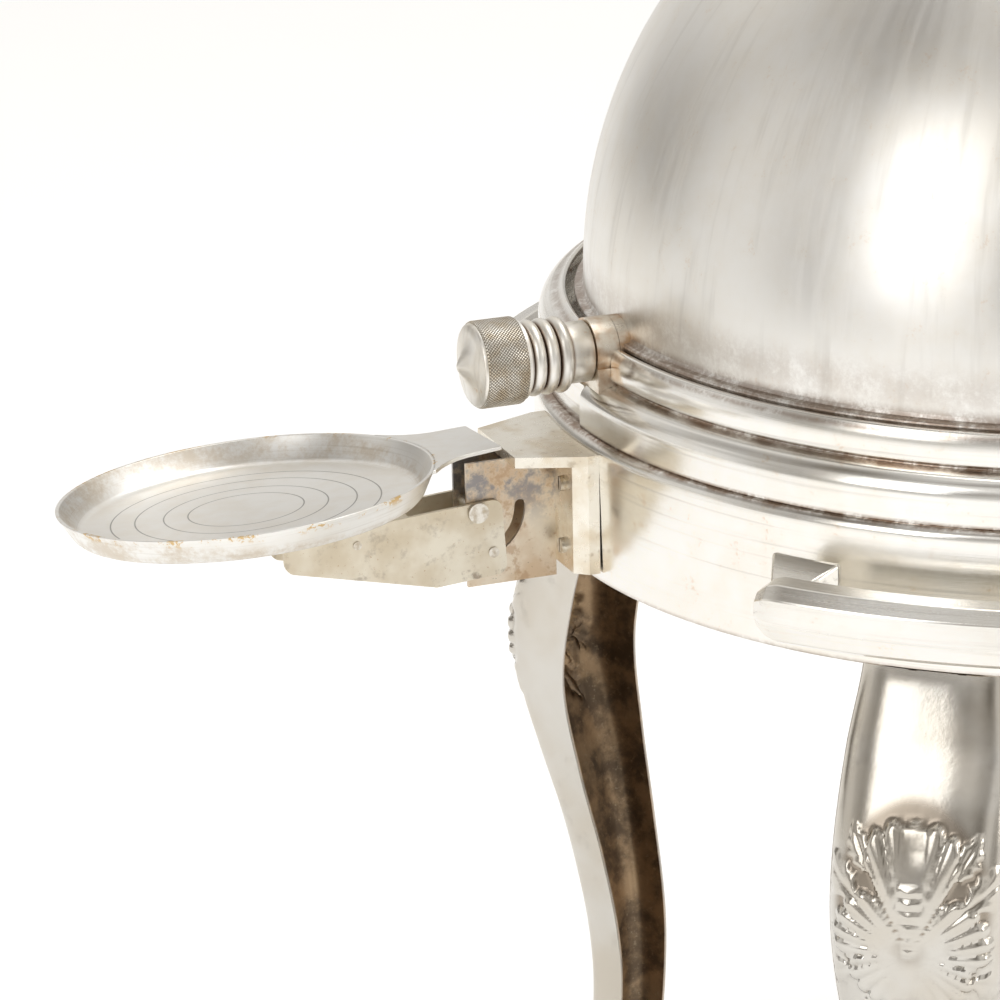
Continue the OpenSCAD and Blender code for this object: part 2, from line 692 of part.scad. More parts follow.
module knurled_head(side) {
    color([0.66, 0.63, 0.56]) placed() on_side(side) at_trunnion() along_x() rotate_extrude() polygon([
        [spigot_r, head_x], [head_r - 1, head_x], [head_r, head_x + 1], [head_r, head_x + head_l - 0.8],
        [head_r - 0.8, head_x + head_l], [spigot_r, head_x + head_l]]);
}
module knurled_head_left() { knurled_head(-1); }
module knurled_head_right() { knurled_head(1); }

module knob_cap(side) {
    color([0.84, 0.82, 0.78]) placed() on_side(side) at_trunnion() along_x() rotate_extrude() polygon([
        [0, head_x + head_l - 3.5], [spigot_r, head_x + head_l - 3.5], [spigot_r, head_x + head_l],
        [head_r - 1, head_x + head_l], [head_r - 1.6, head_x + head_l + 1.6],
        [head_r * 0.45, head_x + head_l + 3.6], [3, knob_end - 0.8], [0, knob_end]]);
}
module knob_cap_left() { knob_cap(-1); }
module knob_cap_right() { knob_cap(1); }

// ---- Pans -------------------------------------------------------------------------------

water_flange = frame_top + pan_wall;
module pan(r, depth, flange_r, top) {
    corner = 10;
    ring_of() polygon(concat(
        [[0, top - depth]], arc([r - corner, top - depth + corner], corner, -90, 0, 6),
        [[r, top - pan_wall], [flange_r, top - pan_wall], [flange_r, top], [r - pan_wall, top]],
        arc([r - corner, top - depth + corner], corner - pan_wall, 0, -90, 6), [[0, top - depth + pan_wall]]));
}
module water_pan() {
    color([0.72, 0.70, 0.67]) placed() pan(water_pan_r, water_pan_depth, frame_outer, water_flange);
}
module food_pan() {
    color([0.78, 0.77, 0.75]) placed()
        pan(water_pan_r - 6, food_pan_depth, frame_outer - 1, water_flange + pan_wall);
}

// ---- Burner, carried from the front of the skirt -----------------------------------------

shelf_z = skirt_bottom - 48;
shelf_r = burner_r + 8;
strap = 3;
strap_w = 26;
burner_screw_x = 7;
burner_screw_z = skirt_bottom + 12;
module burner_screw_holes() {
    for (s = [-1, 1]) translate([s * burner_screw_x, -skirt_r + 12, burner_screw_z]) rotate([90, 0, 0])
        cylinder(r = 2, h = 24, $fn = 32);
}
module burner_arm() {
    outer = skirt_inner_r - 1;
    foot = foot_flange_r - 2;
    color([0.66, 0.62, 0.56]) placed() difference() {
        rotate([90, 0, -90]) translate([0, 0, -strap_w / 2]) linear_extrude(strap_w) polygon([
            [outer, skirt_bottom + 20], [outer, skirt_bottom + 3], [foot, skirt_bottom + 3],
            [foot, skirt_bottom - 14], [shelf_r + 2, shelf_z - strap], [shelf_r - 22, shelf_z - strap],
            [shelf_r - 22, shelf_z], [shelf_r + 1, shelf_z], [foot - strap, skirt_bottom - 12],
            [foot - strap, skirt_bottom + 6], [outer - strap, skirt_bottom + 6],
            [outer - strap, skirt_bottom + 20]]);
        burner_screw_holes();
    }
}
module burner_arm_screws() {
    outer = skirt_inner_r - 1;
    color([0.60, 0.57, 0.52]) placed() for (s = [-1, 1]) translate([s * burner_screw_x, 0, burner_screw_z])
        rotate([90, 0, 0]) {
            translate([0, 0, outer - strap - 3]) cylinder(r = 2, h = skirt_r - outer + strap + 2, $fn = 32);
            translate([0, 0, outer - strap - 3]) cylinder(r = 3.8, h = 3, $fn = 32);
        }
}
module burner_shelf() {
    color([0.68, 0.65, 0.60]) placed() translate([0, 0, shelf_z]) ring_of() polygon([
        [0, 0], [shelf_r, 0], [shelf_r, 9], [shelf_r - 1.5, 9], [shelf_r - 1.5, 2], [0, 2]]);
}

burner_z = shelf_z + 2;
wick_r = 20;
module burner() {
    color([0.72, 0.60, 0.36]) placed() translate([0, 0, burner_z]) ring_of() difference() {
        polygon(concat([[0, 0]], arc([burner_r - 4, 4], 4, -90, 0, 5), arc([burner_r - 8, burner_h - 8], 8, 0, 90, 6),
                       [[0, burner_h]]));
        polygon([[0, 3], [burner_r - 4, 3], [burner_r - 4, burner_h - 7], [wick_r, burner_h - 3],
                 [wick_r, burner_h + 1], [0, burner_h + 1]]);
    }
}
collar_h = 6;
module burner_collar() {
    color([0.66, 0.56, 0.36]) placed() translate([0, 0, burner_z + burner_h - 3]) ring_of() polygon([
        [wick_r - 5, 0], [wick_r, 0], [wick_r, 3], [wick_r + 3, 3], [wick_r + 3, 3 + collar_h - 2],
        [wick_r - 1, 3 + collar_h], [wick_r - 5, 3 + collar_h - 2]]);
}
module burner_handle() {
    color([0.25, 0.20, 0.16]) placed() translate([0, -burner_r, burner_z + burner_h / 2]) rotate([90, 0, 0]) {
        cylinder(r = 3, h = 22, $fn = 32);
        translate([0, 0, 22]) cylinder(r = 6, h = 30, $fn = 48);
    }
}

// The snuffer is a disc that swings level over the wick collar on a pin in the burner's top.
snuffer_z = burner_z + burner_h + collar_h + gap;
snuffer_pin_x = wick_r + 10;
snuffer_t = 1.6;
module snuffer() {
    color([0.70, 0.60, 0.38]) placed() translate([0, 0, snuffer_z]) difference() {
        union() {
            cylinder(r = wick_r + 2, h = snuffer_t);
            translate([0, -5, 0]) cube([snuffer_pin_x, 10, snuffer_t]);
            translate([snuffer_pin_x, 0, 0]) cylinder(r = 5, h = snuffer_t);
            translate([-wick_r - 12, -4, 0]) cube([14, 8, snuffer_t]);
        }
        translate([snuffer_pin_x, 0, -1]) cylinder(r = 2.05, h = 4);
    }
}
module snuffer_pin() {
    shoulder = collar_h + gap;
    top = shoulder + snuffer_t + gap;
    color([0.55, 0.50, 0.40]) placed() translate([snuffer_pin_x, 0, burner_z + burner_h]) {
        cylinder(r = 3.2, h = shoulder);
        cylinder(r = 2, h = top);
        translate([0, 0, top]) cylinder(r = 3.2, h = 1);
    }
}

body_skirt();
rim_ring();
rear_collar();
bearing_saddle_left();
bearing_saddle_right();
bearing_cap_left();
bearing_cap_right();
bearing_cap_screws();
pan_frame();
pan_frame_arms();
leg_front_left();
leg_front_right();
leg_rear_left();
leg_rear_right();
leg_flowers();
leg_blocks();
leg_screws();
foot_pads();
front_rail();
rear_rail();
front_rail_bosses();
rear_rail_bosses();
rail_bolts();
tray_bracket();
bracket_screws();
slotted_channel();
channel_rivets();
pivot_pin();
dome();
dome_brim();
trunnion_left();
trunnion_right();
ribbed_knob_left();
ribbed_knob_right();
knurled_head_left();
knurled_head_right();
knob_cap_left();
knob_cap_right();
tray();
tray_arm();
tray_post();
arm_rivets();
guide_pin();
water_pan();
food_pan();
burner_arm();
burner_arm_screws();
burner_shelf();
burner();
burner_collar();
burner_handle();
snuffer();
snuffer_pin();
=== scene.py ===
import json
import math

import bmesh
import bpy
from mathutils import Matrix, Vector


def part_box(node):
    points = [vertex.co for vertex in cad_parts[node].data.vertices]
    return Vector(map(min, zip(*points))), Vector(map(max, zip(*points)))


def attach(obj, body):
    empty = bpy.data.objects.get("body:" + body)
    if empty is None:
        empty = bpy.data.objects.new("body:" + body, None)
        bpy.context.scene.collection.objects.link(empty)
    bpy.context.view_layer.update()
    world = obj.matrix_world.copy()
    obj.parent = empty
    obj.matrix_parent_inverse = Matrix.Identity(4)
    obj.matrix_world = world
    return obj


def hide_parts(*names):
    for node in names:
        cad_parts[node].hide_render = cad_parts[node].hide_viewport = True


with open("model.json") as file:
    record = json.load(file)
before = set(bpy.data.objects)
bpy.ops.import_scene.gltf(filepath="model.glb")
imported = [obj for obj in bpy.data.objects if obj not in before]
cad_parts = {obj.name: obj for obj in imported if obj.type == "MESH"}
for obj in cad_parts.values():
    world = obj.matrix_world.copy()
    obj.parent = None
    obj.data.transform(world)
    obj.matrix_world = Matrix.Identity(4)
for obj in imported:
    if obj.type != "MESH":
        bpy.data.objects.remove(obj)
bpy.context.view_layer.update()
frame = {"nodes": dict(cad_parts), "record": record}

# ---- Driving sizes, in millimetres about the dome's axis at the rim lip --------------------

MM = 0.001
skirt_low, skirt_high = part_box("body_skirt")
rim_low, rim_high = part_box("rim_ring")
AXIS_X = (skirt_low[0] + skirt_high[0]) / 2
LIP_Z = rim_high[2]
TO_WORLD = Matrix.Translation((AXIS_X, 0, LIP_Z)) @ Matrix.Scale(MM, 4)

LIP_R = 238
WALL = 1.6
RIM_H = 39.5
SKIRT_R = 254.5
SKIRT_BOTTOM = -106
SHOULDER_R = SKIRT_R - 4
FLANGE_R = LIP_R + 3
FOOT_FLANGE_R = SKIRT_R - 14
COLLAR_BACK = 6
DOME_R = 230
DOME_RISE = 8
DOME_WALL = 1.5
TRUNNION_Z = -3.4
JOURNAL_R = 12
BEARING_X = LIP_R - 2.5
BEARING_L = 11
BEARING_R = JOURNAL_R + 3.2
NECK_X = BEARING_X + BEARING_L + 0.3
NECK_L = 11
HEAD_R = 20.2
HEAD_L = 20
RIB_R = HEAD_R - 2.4
RIBS = 3
RIB_PITCH = 6.6
COLLAR_L = 3.4
HEAD_X = NECK_X + NECK_L + RIBS * RIB_PITCH + COLLAR_L
TIP_H = 8.5
KNOB_END = HEAD_X + HEAD_L + TIP_H
SEAT_WALL = 4.6
SEAT_Z = TRUNNION_Z - JOURNAL_R - SEAT_WALL
FLOOR_Z = -LIP_Z / MM
LEG_ANGLES = {"leg_front_left": 230, "leg_front_right": -50, "leg_rear_left": 130, "leg_rear_right": 50}


# ---- Shader maths -------------------------------------------------------------------------

class Flow:
    """A value on its way through a finish, so that sums can be written as sums."""

    def __init__(self, finish, socket):
        self.finish = finish
        self.socket = socket

    def maths(self, operation, a, b=0.0):
        return self.finish.maths(operation, a, b)

    def __add__(self, other):
        return self.maths("ADD", self, other)

    __radd__ = __add__

    def __sub__(self, other):
        return self.maths("SUBTRACT", self, other)

    def __rsub__(self, other):
        return self.maths("SUBTRACT", other, self)

    def __mul__(self, other):
        return self.maths("MULTIPLY", self, other)

    __rmul__ = __mul__

    def sine(self):
        return self.maths("SINE", self)

    def size(self):
        return self.maths("ABSOLUTE", self)

    def root(self):
        return self.maths("SQRT", self)

    def least(self, other):
        return self.maths("MINIMUM", self, other)


class Finish:
    """A named material and the nodes that make it."""

    def __init__(self, name, metallic=1.0):
        self.material = bpy.data.materials.new(name)
        self.material.use_nodes = True
        self.tree = self.material.node_tree
        self.tree.nodes.clear()
        self.surface = self.tree.nodes.new("ShaderNodeBsdfPrincipled")
        out = self.tree.nodes.new("ShaderNodeOutputMaterial")
        self.tree.links.new(self.surface.outputs[0], out.inputs[0])
        self.surface.inputs["Metallic"].default_value = metallic
        spot = self.node("ShaderNodeTexCoord", output="Object")
        moved = self.node("ShaderNodeVectorMath", {"operation": "SUBTRACT"}, [spot, (AXIS_X, 0, LIP_Z)])
        to_mm = {"Vector": moved, "Scale": 1000.0}
        self.spot = self.node("ShaderNodeVectorMath", {"operation": "SCALE"}, to_mm)
        self.x = self.node("ShaderNodeSeparateXYZ", inputs=[self.spot], output=0)
        self.y = self.node("ShaderNodeSeparateXYZ", inputs=[self.spot], output=1)
        self.z = self.node("ShaderNodeSeparateXYZ", inputs=[self.spot], output=2)

    def node(self, kind, settings=None, inputs=(), output=0):
        made = self.tree.nodes.new(kind)
        for key, value in (settings or {}).items():
            setattr(made, key, value)
        pairs = inputs.items() if isinstance(inputs, dict) else enumerate(inputs)
        for key, value in pairs:
            if isinstance(value, Flow):
                self.tree.links.new(value.socket, made.inputs[key])
            else:
                made.inputs[key].default_value = value
        return Flow(self, made.outputs[output])

    def vector(self, x, y, z):
        return self.node("ShaderNodeCombineXYZ", inputs=[x, y, z])

    def noise(self, scale, detail=3.0, roughness=0.55, where=None):
        """Noise whose lumps are about 1 / scale millimetres across."""
        inputs = {"Vector": where or self.spot, "Scale": scale, "Detail": detail, "Roughness": roughness}
        return self.node("ShaderNodeTexNoise", inputs=inputs)

    def ease(self, value, low, high):
        """0 below low and 1 above high, or the other way round when low is the larger."""
        ends = {"Value": value, "From Min": low, "From Max": high, "To Min": 0.0, "To Max": 1.0}
        if low > high:
            ends = {"Value": value, "From Min": high, "From Max": low, "To Min": 1.0, "To Max": 0.0}
        return self.node("ShaderNodeMapRange", {"interpolation_type": "SMOOTHSTEP"}, ends)

    def near(self, value, centre, width):
        """1 where value is at centre, falling to 0 at width away."""
        return self.ease((value - centre).size(), width, 0.0)

    def mix(self, share, a, b):
        return self.node("ShaderNodeMix", {"data_type": "RGBA"}, {0: share, 6: a, 7: b}, output=2)

    def angle(self):
        """Angle round the upright axis."""
        return self.maths("ARCTAN2", self.y, self.x)

    def maths(self, operation, a, b):
        return self.node("ShaderNodeMath", {"operation": operation}, [a, b])

    def feed(self, socket, value):
        if isinstance(value, Flow):
            self.tree.links.new(value.socket, self.surface.inputs[socket])
        else:
            self.surface.inputs[socket].default_value = value

    def bump(self, height, distance, strength=1.0):
        made = {"Strength": strength, "Distance": distance * MM, "Height": height}
        self.feed("Normal", self.node("ShaderNodeBump", inputs=made))


COOL = (0.90, 0.885, 0.85, 1)
WARM = (0.82, 0.76, 0.65, 1)
UMBER = (0.22, 0.13, 0.075, 1)
GREY = (0.36, 0.33, 0.29, 1)
AMBER = (0.62, 0.36, 0.16, 1)


def silver(name, rough=0.16, warmth=0.45, streaks=None, stain=None, cloudy=0.10, marks=0.35):
    """Old silver plate: warm clouds, polishing streaks, fine scratches and brown marks."""
    f = Finish(name)
    cloud = f.noise(0.012, 4.0)
    mottle = f.noise(0.07, 5.0, 0.6)
    speck = f.noise(0.45, 3.0, 0.7)
    if streaks == "upright":
        grain_at = f.vector(f.angle() * 26.0, f.z * 0.012, 0.0)
        fine_at = f.vector(f.angle() * 240.0, f.z * 0.03, 1.0)
    elif streaks == "round":
        radius = (f.x * f.x + f.y * f.y).root()
        grain_at = f.vector(f.angle() * 1.5, f.z * 0.4, radius * 0.4)
        fine_at = f.vector(f.angle() * 3.0, f.z * 2.6, radius * 2.6)
    else:
        grain_at = f.node("ShaderNodeVectorMath", {"operation": "MULTIPLY"}, [f.spot, (0.09, 0.09, 0.02)])
        fine_at = f.node("ShaderNodeVectorMath", {"operation": "MULTIPLY"}, [f.spot, (0.9, 0.9, 0.08)])
    grain = f.noise(1.0, 3.0, 0.6, grain_at)
    fine = f.noise(1.0, 2.0, 0.6, fine_at)
    colour = f.mix(f.ease(cloud * 0.6 + mottle * 0.4, 0.38, 0.66) * warmth, COOL, WARM)
    colour = f.mix(f.ease(grain, 0.52, 0.78) * marks, colour, GREY)
    colour = f.mix(f.ease(mottle * 0.5 + speck * 0.5, 0.58, 0.70) * marks, colour, AMBER)
    if stain:
        colour = f.mix(stain(f, mottle, speck).least(0.92), colour, UMBER)
    f.feed("Base Color", colour)
    f.feed("Roughness", (rough + cloudy * cloud + 0.10 * f.ease(grain, 0.35, 0.8) + 0.05 * speck).least(0.8))
    f.bump(fine * 0.6 + speck * 0.4, 0.06, 0.35)
    return f.material


def band_stain(*bands):
    """Brown lying along the given (height, width, strength) bands."""
    def stain(f, mottle, speck):
        total = 0.0
        for height, width, strength in bands:
            total = f.near(f.z + 1.5 * (mottle - 0.5), height, width) * strength + total
        return total * f.ease(mottle * 0.6 + speck * 0.4, 0.30, 0.58)
    return stain


def knob_stain(f, mottle, speck):
    """Dirt lying in the grooves between the ribs, and brown marks near the bearing."""
    out = f.x.size()
    rise = f.z - TRUNNION_Z
    reach = (f.y * f.y + rise * rise).root()
    groove = 0.0
    for i in range(RIBS + 1):
        groove = f.near(out, NECK_X + NECK_L + i * RIB_PITCH, 1.6) + groove
    groove = groove * f.ease(reach, RIB_R, RIB_R - 2.5) * 0.9
    hot = f.near(out, BEARING_X, 14.0) * f.ease(mottle, 0.35, 0.62) * 0.55
    return groove + hot


SKIRT_DIRT = band_stain((-RIM_H, 2.2, 0.9), (SKIRT_BOTTOM, 3, 0.6))
RIM_DIRT = band_stain((-16.5, 2.0, 0.9), (-RIM_H, 2.0, 0.9), (-2, 2.0, 0.55))
DOME_DIRT = band_stain((1, 7, 0.75), (14, 16, 0.25))
PLATED_BODY = silver("polished_silver_skirt", 0.10, 0.5, "round", SKIRT_DIRT)
PLATED_RIM = silver("polished_silver_rim", 0.09, 0.5, "round", RIM_DIRT)
PLATED_DOME = silver("brushed_silver_dome", 0.24, 0.35, "upright", DOME_DIRT, 0.12, 0.20)
PLATED_RAIL = silver("polished_silver_rail", 0.12, 0.4, "round")
KNOB_METAL = silver("grimy_turned_metal", 0.28, 0.9, None, knob_stain, 0.12, 0.5)
PLAIN_STEEL = silver("plain_bent_steel", 0.34, 0.3, None)
PAN_STEEL = silver("satin_pan_steel", 0.26, 0.1, "round", None, 0.08, 0.1)


def knurled():
    """Crossed diagonal grooves round the trunnion's axis, with dirt in their bottoms."""
    f = Finish("diamond_knurl")
    turn = f.maths("ARCTAN2", f.z - TRUNNION_Z, f.y)
    pitch = 40.0
    lean = pitch / HEAD_R
    one = (turn * pitch + f.x * lean).sine().size()
    two = (turn * pitch - f.x * lean).sine().size()
    rise = f.z - TRUNNION_Z
    reach = (f.y * f.y + rise * rise).root()
    side = f.ease(reach, HEAD_R - 1.2, HEAD_R - 0.4)
    height = one.least(two)
    mottle = f.noise(0.12, 4.0)
    deep = f.ease(height, 0.55, 0.10) * side
    colour = f.mix(f.ease(mottle, 0.4, 0.7), (0.80, 0.77, 0.70, 1), (0.62, 0.53, 0.40, 1))
    f.feed("Base Color", f.mix(deep * 0.85, colour, (0.16, 0.11, 0.07, 1)))
    f.feed("Roughness", 0.27 + 0.25 * deep + 0.1 * mottle)
    f.bump(f.ease(height, 0.0, 0.7) * side, 0.55, 0.8)
    return f.material


def legs_finish():
    """Bright outside, and dark bronze on the hollow inside that is partly tarnish and partly painted shade,
    with painted shade in the low ground round the flower.
    """
    f = Finish("pressed_silver_leg")
    cloud = f.noise(0.014, 4.0)
    mottle = f.noise(0.06, 5.0, 0.62)
    speck = f.noise(0.4, 3.0, 0.7)
    inside_tarnish_and_shade = f.node("ShaderNodeAttribute", {"attribute_name": "inside"}, output="Fac")
    hollow = f.node("ShaderNodeAttribute", {"attribute_name": "hollow"}, output="Fac")
    outer = f.mix(f.ease(cloud, 0.35, 0.65) * 0.6, (0.64, 0.62, 0.58, 1), (0.54, 0.48, 0.39, 1))
    outer = f.mix(f.ease(mottle, 0.55, 0.75) * 0.30, outer, GREY)
    # Painted shade in the low ground between the flower's petals and leaves.
    outer = f.mix(f.ease(hollow, 0.15, 0.85) * 0.75, outer, (0.26, 0.21, 0.16, 1))
    # Dark bronze for the inside faces: partly tarnish, partly painted shade where the sheet turns away from
    # the light.
    dark = f.mix(f.ease(mottle, 0.35, 0.65), (0.13, 0.095, 0.065, 1), (0.40, 0.28, 0.17, 1))
    dark = f.mix(f.ease(speck, 0.55, 0.75) * 0.4, dark, (0.55, 0.44, 0.30, 1))
    f.feed("Base Color", f.mix(inside_tarnish_and_shade, outer, dark))
    f.feed("Roughness", (0.13 + 0.12 * cloud + 0.18 * inside_tarnish_and_shade + 0.10 * f.ease(hollow, 0.2, 0.9)).least(0.8))
    f.bump(f.noise(0.3, 4.0), 0.12, 0.35)
    return f.material


def tray_finish():
    """Circular brushing on the floor and wall, with scribed rings and amber chips on the rim."""
    f = Finish("brushed_tray_silver")
    dx = f.x + TRAY_X
    dy = f.y - TRAY_Y
    radius = (dx * dx + dy * dy).root()
    turn = f.maths("ARCTAN2", dy, dx)
    lines = f.noise(1.0, 3.0, 0.6, f.vector(turn * 1.2, radius * 1.6, 0.0))
    mottle = f.noise(0.06, 5.0, 0.62)
    speck = f.noise(0.35, 4.0, 0.7)
    on_floor = f.ease(radius, 77.0, 74.0)
    on_dish = f.ease(radius, TRAY_R + 0.5, TRAY_R - 0.5)
    rings = 0.0
    for ring in (26.3, 37.3, 50.3, 61.3):
        rings = f.near(radius, ring, 0.55) + rings
    rings = rings * on_floor
    rim = f.near(radius, TRAY_R - 0.8, 2.0)
    outer = f.ease(f.z, TRAY_Z - 3.0, TRAY_Z - 7.0) * f.ease(radius, TRAY_R - 12.0, TRAY_R - 6.0)
    colour = f.mix(f.ease(mottle, 0.35, 0.7) * 0.35, (0.88, 0.87, 0.84, 1), (0.76, 0.70, 0.60, 1))
    colour = f.mix(f.ease(lines, 0.5, 0.8) * 0.35 * (1.0 - on_floor) * on_dish, colour, (0.45, 0.40, 0.33, 1))
    tarnish = outer * f.ease(mottle * 0.6 + speck * 0.4, 0.40, 0.62) * 0.45
    colour = f.mix(tarnish, colour, (0.50, 0.38, 0.24, 1))
    chips = rim * f.ease(mottle * 0.5 + speck * 0.5, 0.53, 0.57)
    colour = f.mix(chips * 0.9, colour, (0.66, 0.43, 0.14, 1))
    colour = f.mix(rings * 0.8, colour, (0.12, 0.11, 0.10, 1))
    f.feed("Base Color", colour)
    f.feed("Roughness", (0.24 + 0.14 * lines + 0.08 * mottle).least(0.8))
    f.bump(lines * 0.5 - rings * 0.8, 0.12, 0.4)
    return f.material


def heat_stained():
    """Yellowed metal with blue-grey and brown heat marks and orange specks."""
    f = Finish("heat_stained_metal")
    big = f.noise(0.03, 4.0, 0.6)
    mottle = f.noise(0.10, 6.0, 0.68)
    speck = f.noise(0.55, 4.0, 0.7)
    high = f.ease(f.z, -88.0, -60.0)
    colour = f.mix(f.ease(big, 0.38, 0.64), (0.74, 0.66, 0.54, 1), (0.60, 0.46, 0.32, 1))
    colour = f.mix(f.ease(mottle, 0.42, 0.60) * high * 0.85, colour, (0.25, 0.25, 0.27, 1))
    colour = f.mix(f.ease(mottle, 0.46, 0.36) * 0.6, colour, (0.42, 0.27, 0.16, 1))
    colour = f.mix(f.ease(speck, 0.66, 0.72), colour, (0.55, 0.27, 0.08, 1))
    colour = f.mix(f.ease(speck, 0.36, 0.30) * 0.6, colour, (0.15, 0.12, 0.10, 1))
    f.feed("Base Color", colour)
    f.feed("Roughness", 0.24 + 0.30 * mottle)
    f.feed("Metallic", 0.92)
    f.bump(mottle * 0.5 + speck * 0.5, 0.20, 0.5)
    return f.material


def bracket_finish():
    """Cream-toned plate with darker clouds."""
    f = Finish("yellowed_bracket_metal")
    big = f.noise(0.035, 4.0, 0.6)
    mottle = f.noise(0.16, 5.0, 0.65)
    colour = f.mix(f.ease(big, 0.38, 0.62), (0.86, 0.82, 0.73, 1), (0.72, 0.63, 0.49, 1))
    colour = f.mix(f.ease(mottle, 0.58, 0.72) * 0.5, colour, (0.38, 0.30, 0.21, 1))
    f.feed("Base Color", colour)
    f.feed("Roughness", 0.20 + 0.18 * mottle)
    f.bump(mottle, 0.08, 0.4)
    return f.material


def mottled():
    """Cream arm metal with grey and brown clouds, darker towards its lower edge."""
    f = Finish("mottled_arm_metal")
    big = f.noise(0.028, 4.0, 0.6)
    mottle = f.noise(0.12, 6.0, 0.68)
    speck = f.noise(0.6, 4.0, 0.7)
    low = f.ease(f.z, ARM_LOW + 14.0, ARM_LOW)
    colour = f.mix(f.ease(big, 0.36, 0.62), (0.78, 0.73, 0.62, 1), (0.64, 0.56, 0.43, 1))
    # Grey clouds, stronger towards the arm's lower edge.
    clouds_darker_low = (f.ease(mottle, 0.54, 0.68) * (0.35 + 0.5 * low)).least(0.9)
    colour = f.mix(clouds_darker_low, colour, (0.34, 0.28, 0.22, 1))
    colour = f.mix(f.ease(speck, 0.64, 0.70) * 0.7, colour, (0.42, 0.24, 0.10, 1))
    f.feed("Base Color", colour)
    f.feed("Roughness", 0.30 + 0.30 * mottle)
    f.bump(mottle * 0.5 + speck * 0.5, 0.20, 0.5)
    return f.material


def plain(name, light, dark, rough, metallic, scale):
    """Two tones in soft clouds."""
    f = Finish(name, metallic)
    mottle = f.noise(scale, 4.0, 0.6)
    f.feed("Base Color", f.mix(f.ease(mottle, 0.35, 0.7), light, dark))
    f.feed("Roughness", rough + 0.15 * mottle)
    f.bump(mottle, 0.08, 0.4)
    return f.material


TRAY_X, TRAY_Y, TRAY_R, TRAY_DEPTH, TRAY_Z = 410, 6, 86.5, 13, -43.5
TRAY_TILT_X, TRAY_DROOP, TRAY_TWIST = 350, 4, -5.5

ARM_LOW = -104                              # height of the arm's lower edge
KNURL = knurled()
MOTTLED = mottled()
LEG_SILVER = legs_finish()
TRAY_SILVER = tray_finish()
STAINED = heat_stained()
BRACKET = bracket_finish()
FIXING = plain("steel_fixings", (0.76, 0.73, 0.67, 1), (0.50, 0.43, 0.33, 1), 0.24, 1.0, 0.3)
BEARING = plain("heat_toned_bearing", (0.80, 0.74, 0.64, 1), (0.52, 0.34, 0.20, 1), 0.22, 1.0, 0.09)
BRASS = plain("lacquered_brass", (0.80, 0.60, 0.30, 1), (0.58, 0.40, 0.18, 1), 0.22, 1.0, 0.05)
RUBBER = plain("black_rubber", (0.035, 0.035, 0.035, 1), (0.02, 0.02, 0.02, 1), 0.6, 0.0, 0.2)
WOOD = plain("dark_turned_wood", (0.10, 0.05, 0.025, 1), (0.045, 0.02, 0.01, 1), 0.4, 0.0, 0.12)

SLOT_FINISH = {
    "plated_body": PLATED_BODY, "plated_dome": PLATED_DOME, "plated_legs": PLAIN_STEEL,
    "plated_rails": PLATED_RAIL, "knob_metal": KNOB_METAL, "bearing_metal": BEARING,
    "tray_metal": TRAY_SILVER, "tarnished_metal": STAINED, "fixings": FIXING,
    "inner_steel": PLAIN_STEEL, "pan_steel": PAN_STEEL, "burner_brass": BRASS,
    "handle_wood": WOOD, "pad_rubber": RUBBER,
}
NODE_FINISH = {"tray_bracket": BRACKET, "tray_arm": MOTTLED, "tray_post": MOTTLED}

for entry in frame["record"]["subparts"]:
    carried = frame["nodes"][entry["node"]]
    finish = NODE_FINISH.get(entry["node"], SLOT_FINISH[entry["material_slot"]])
    for material_slot in carried.material_slots:
        material_slot.material = finish


# ---- Shaping ------------------------------------------------------------------------------

def arc(centre, radius, start, end, steps=10):
    """Points on an arc, with angles in degrees."""
    turns = [math.radians(start + (end - start) * i / steps) for i in range(steps + 1)]
    return [(centre[0] + radius * math.cos(t), centre[1] + radius * math.sin(t)) for t in turns]


def spin(shape, profile, start=0, sweep=360, steps=180, centre=(0, 0)):
    """Turns a closed (radius, height) outline round the upright axis."""
    whole = sweep == 360
    points = [shape.verts.new((r, 0, z)) for r, z in profile]
    rim = [shape.edges.new((points[i], points[(i + 1) % len(points)])) for i in range(len(points))]
    turn = Matrix.Translation((centre[0], centre[1], 0)) @ Matrix.Rotation(math.radians(start), 4, "Z")
    bmesh.ops.transform(shape, matrix=turn, verts=points)
    made = bmesh.ops.spin(shape, geom=points + rim, cent=(centre[0], centre[1], 0), axis=(0, 0, 1),
                          angle=math.radians(sweep), steps=steps, use_merge=whole)
    if not whole:
        last = [e for e in made["geom_last"] if isinstance(e, bmesh.types.BMEdge)]
        bmesh.ops.contextual_create(shape, geom=rim)
        bmesh.ops.contextual_create(shape, geom=last)


def turned(shape, profile, steps=128):
    """Turns an outline that may start and end on the axis."""
    points = [shape.verts.new((r, 0, z)) for r, z in profile]
    closed = profile[0][0] > 0 and profile[-1][0] > 0
    count = len(points) if closed else len(points) - 1
    edges = [shape.edges.new((points[i], points[(i + 1) % len(points)])) for i in range(count)]
    bmesh.ops.spin(shape, geom=points + edges, cent=(0, 0, 0), axis=(0, 0, 1),
                   angle=math.radians(360), steps=steps, use_merge=True)


def piece(shape, name, body, nodes, finish, bevel=0.0, smooth=35, place=None):
    """Makes a finished object from a shape in millimetres about the dome's axis."""
    bmesh.ops.remove_doubles(shape, verts=shape.verts, dist=0.002)
    bmesh.ops.transform(shape, matrix=TO_WORLD @ (place or Matrix.Identity(4)), verts=shape.verts)
    bmesh.ops.recalc_face_normals(shape, faces=shape.faces)
    mesh = bpy.data.meshes.new(name)
    shape.to_mesh(mesh)
    shape.free()
    made = bpy.data.objects.new(name, mesh)
    bpy.context.scene.collection.objects.link(made)
    mesh.materials.append(finish)
    for face in mesh.polygons:
        face.use_smooth = True
    mesh.set_sharp_from_angle(angle=math.radians(smooth))
    if bevel:
        edge = made.modifiers.new("edge", "BEVEL")
        edge.width = bevel * MM
        edge.segments = 2
        edge.limit_method = "ANGLE"
        edge.angle_limit = math.radians(smooth)
        edge.harden_normals = False
    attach(made, body)
    if nodes:
        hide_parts(*nodes)
    return made


# ---- Dome ---------------------------------------------------------------------------------

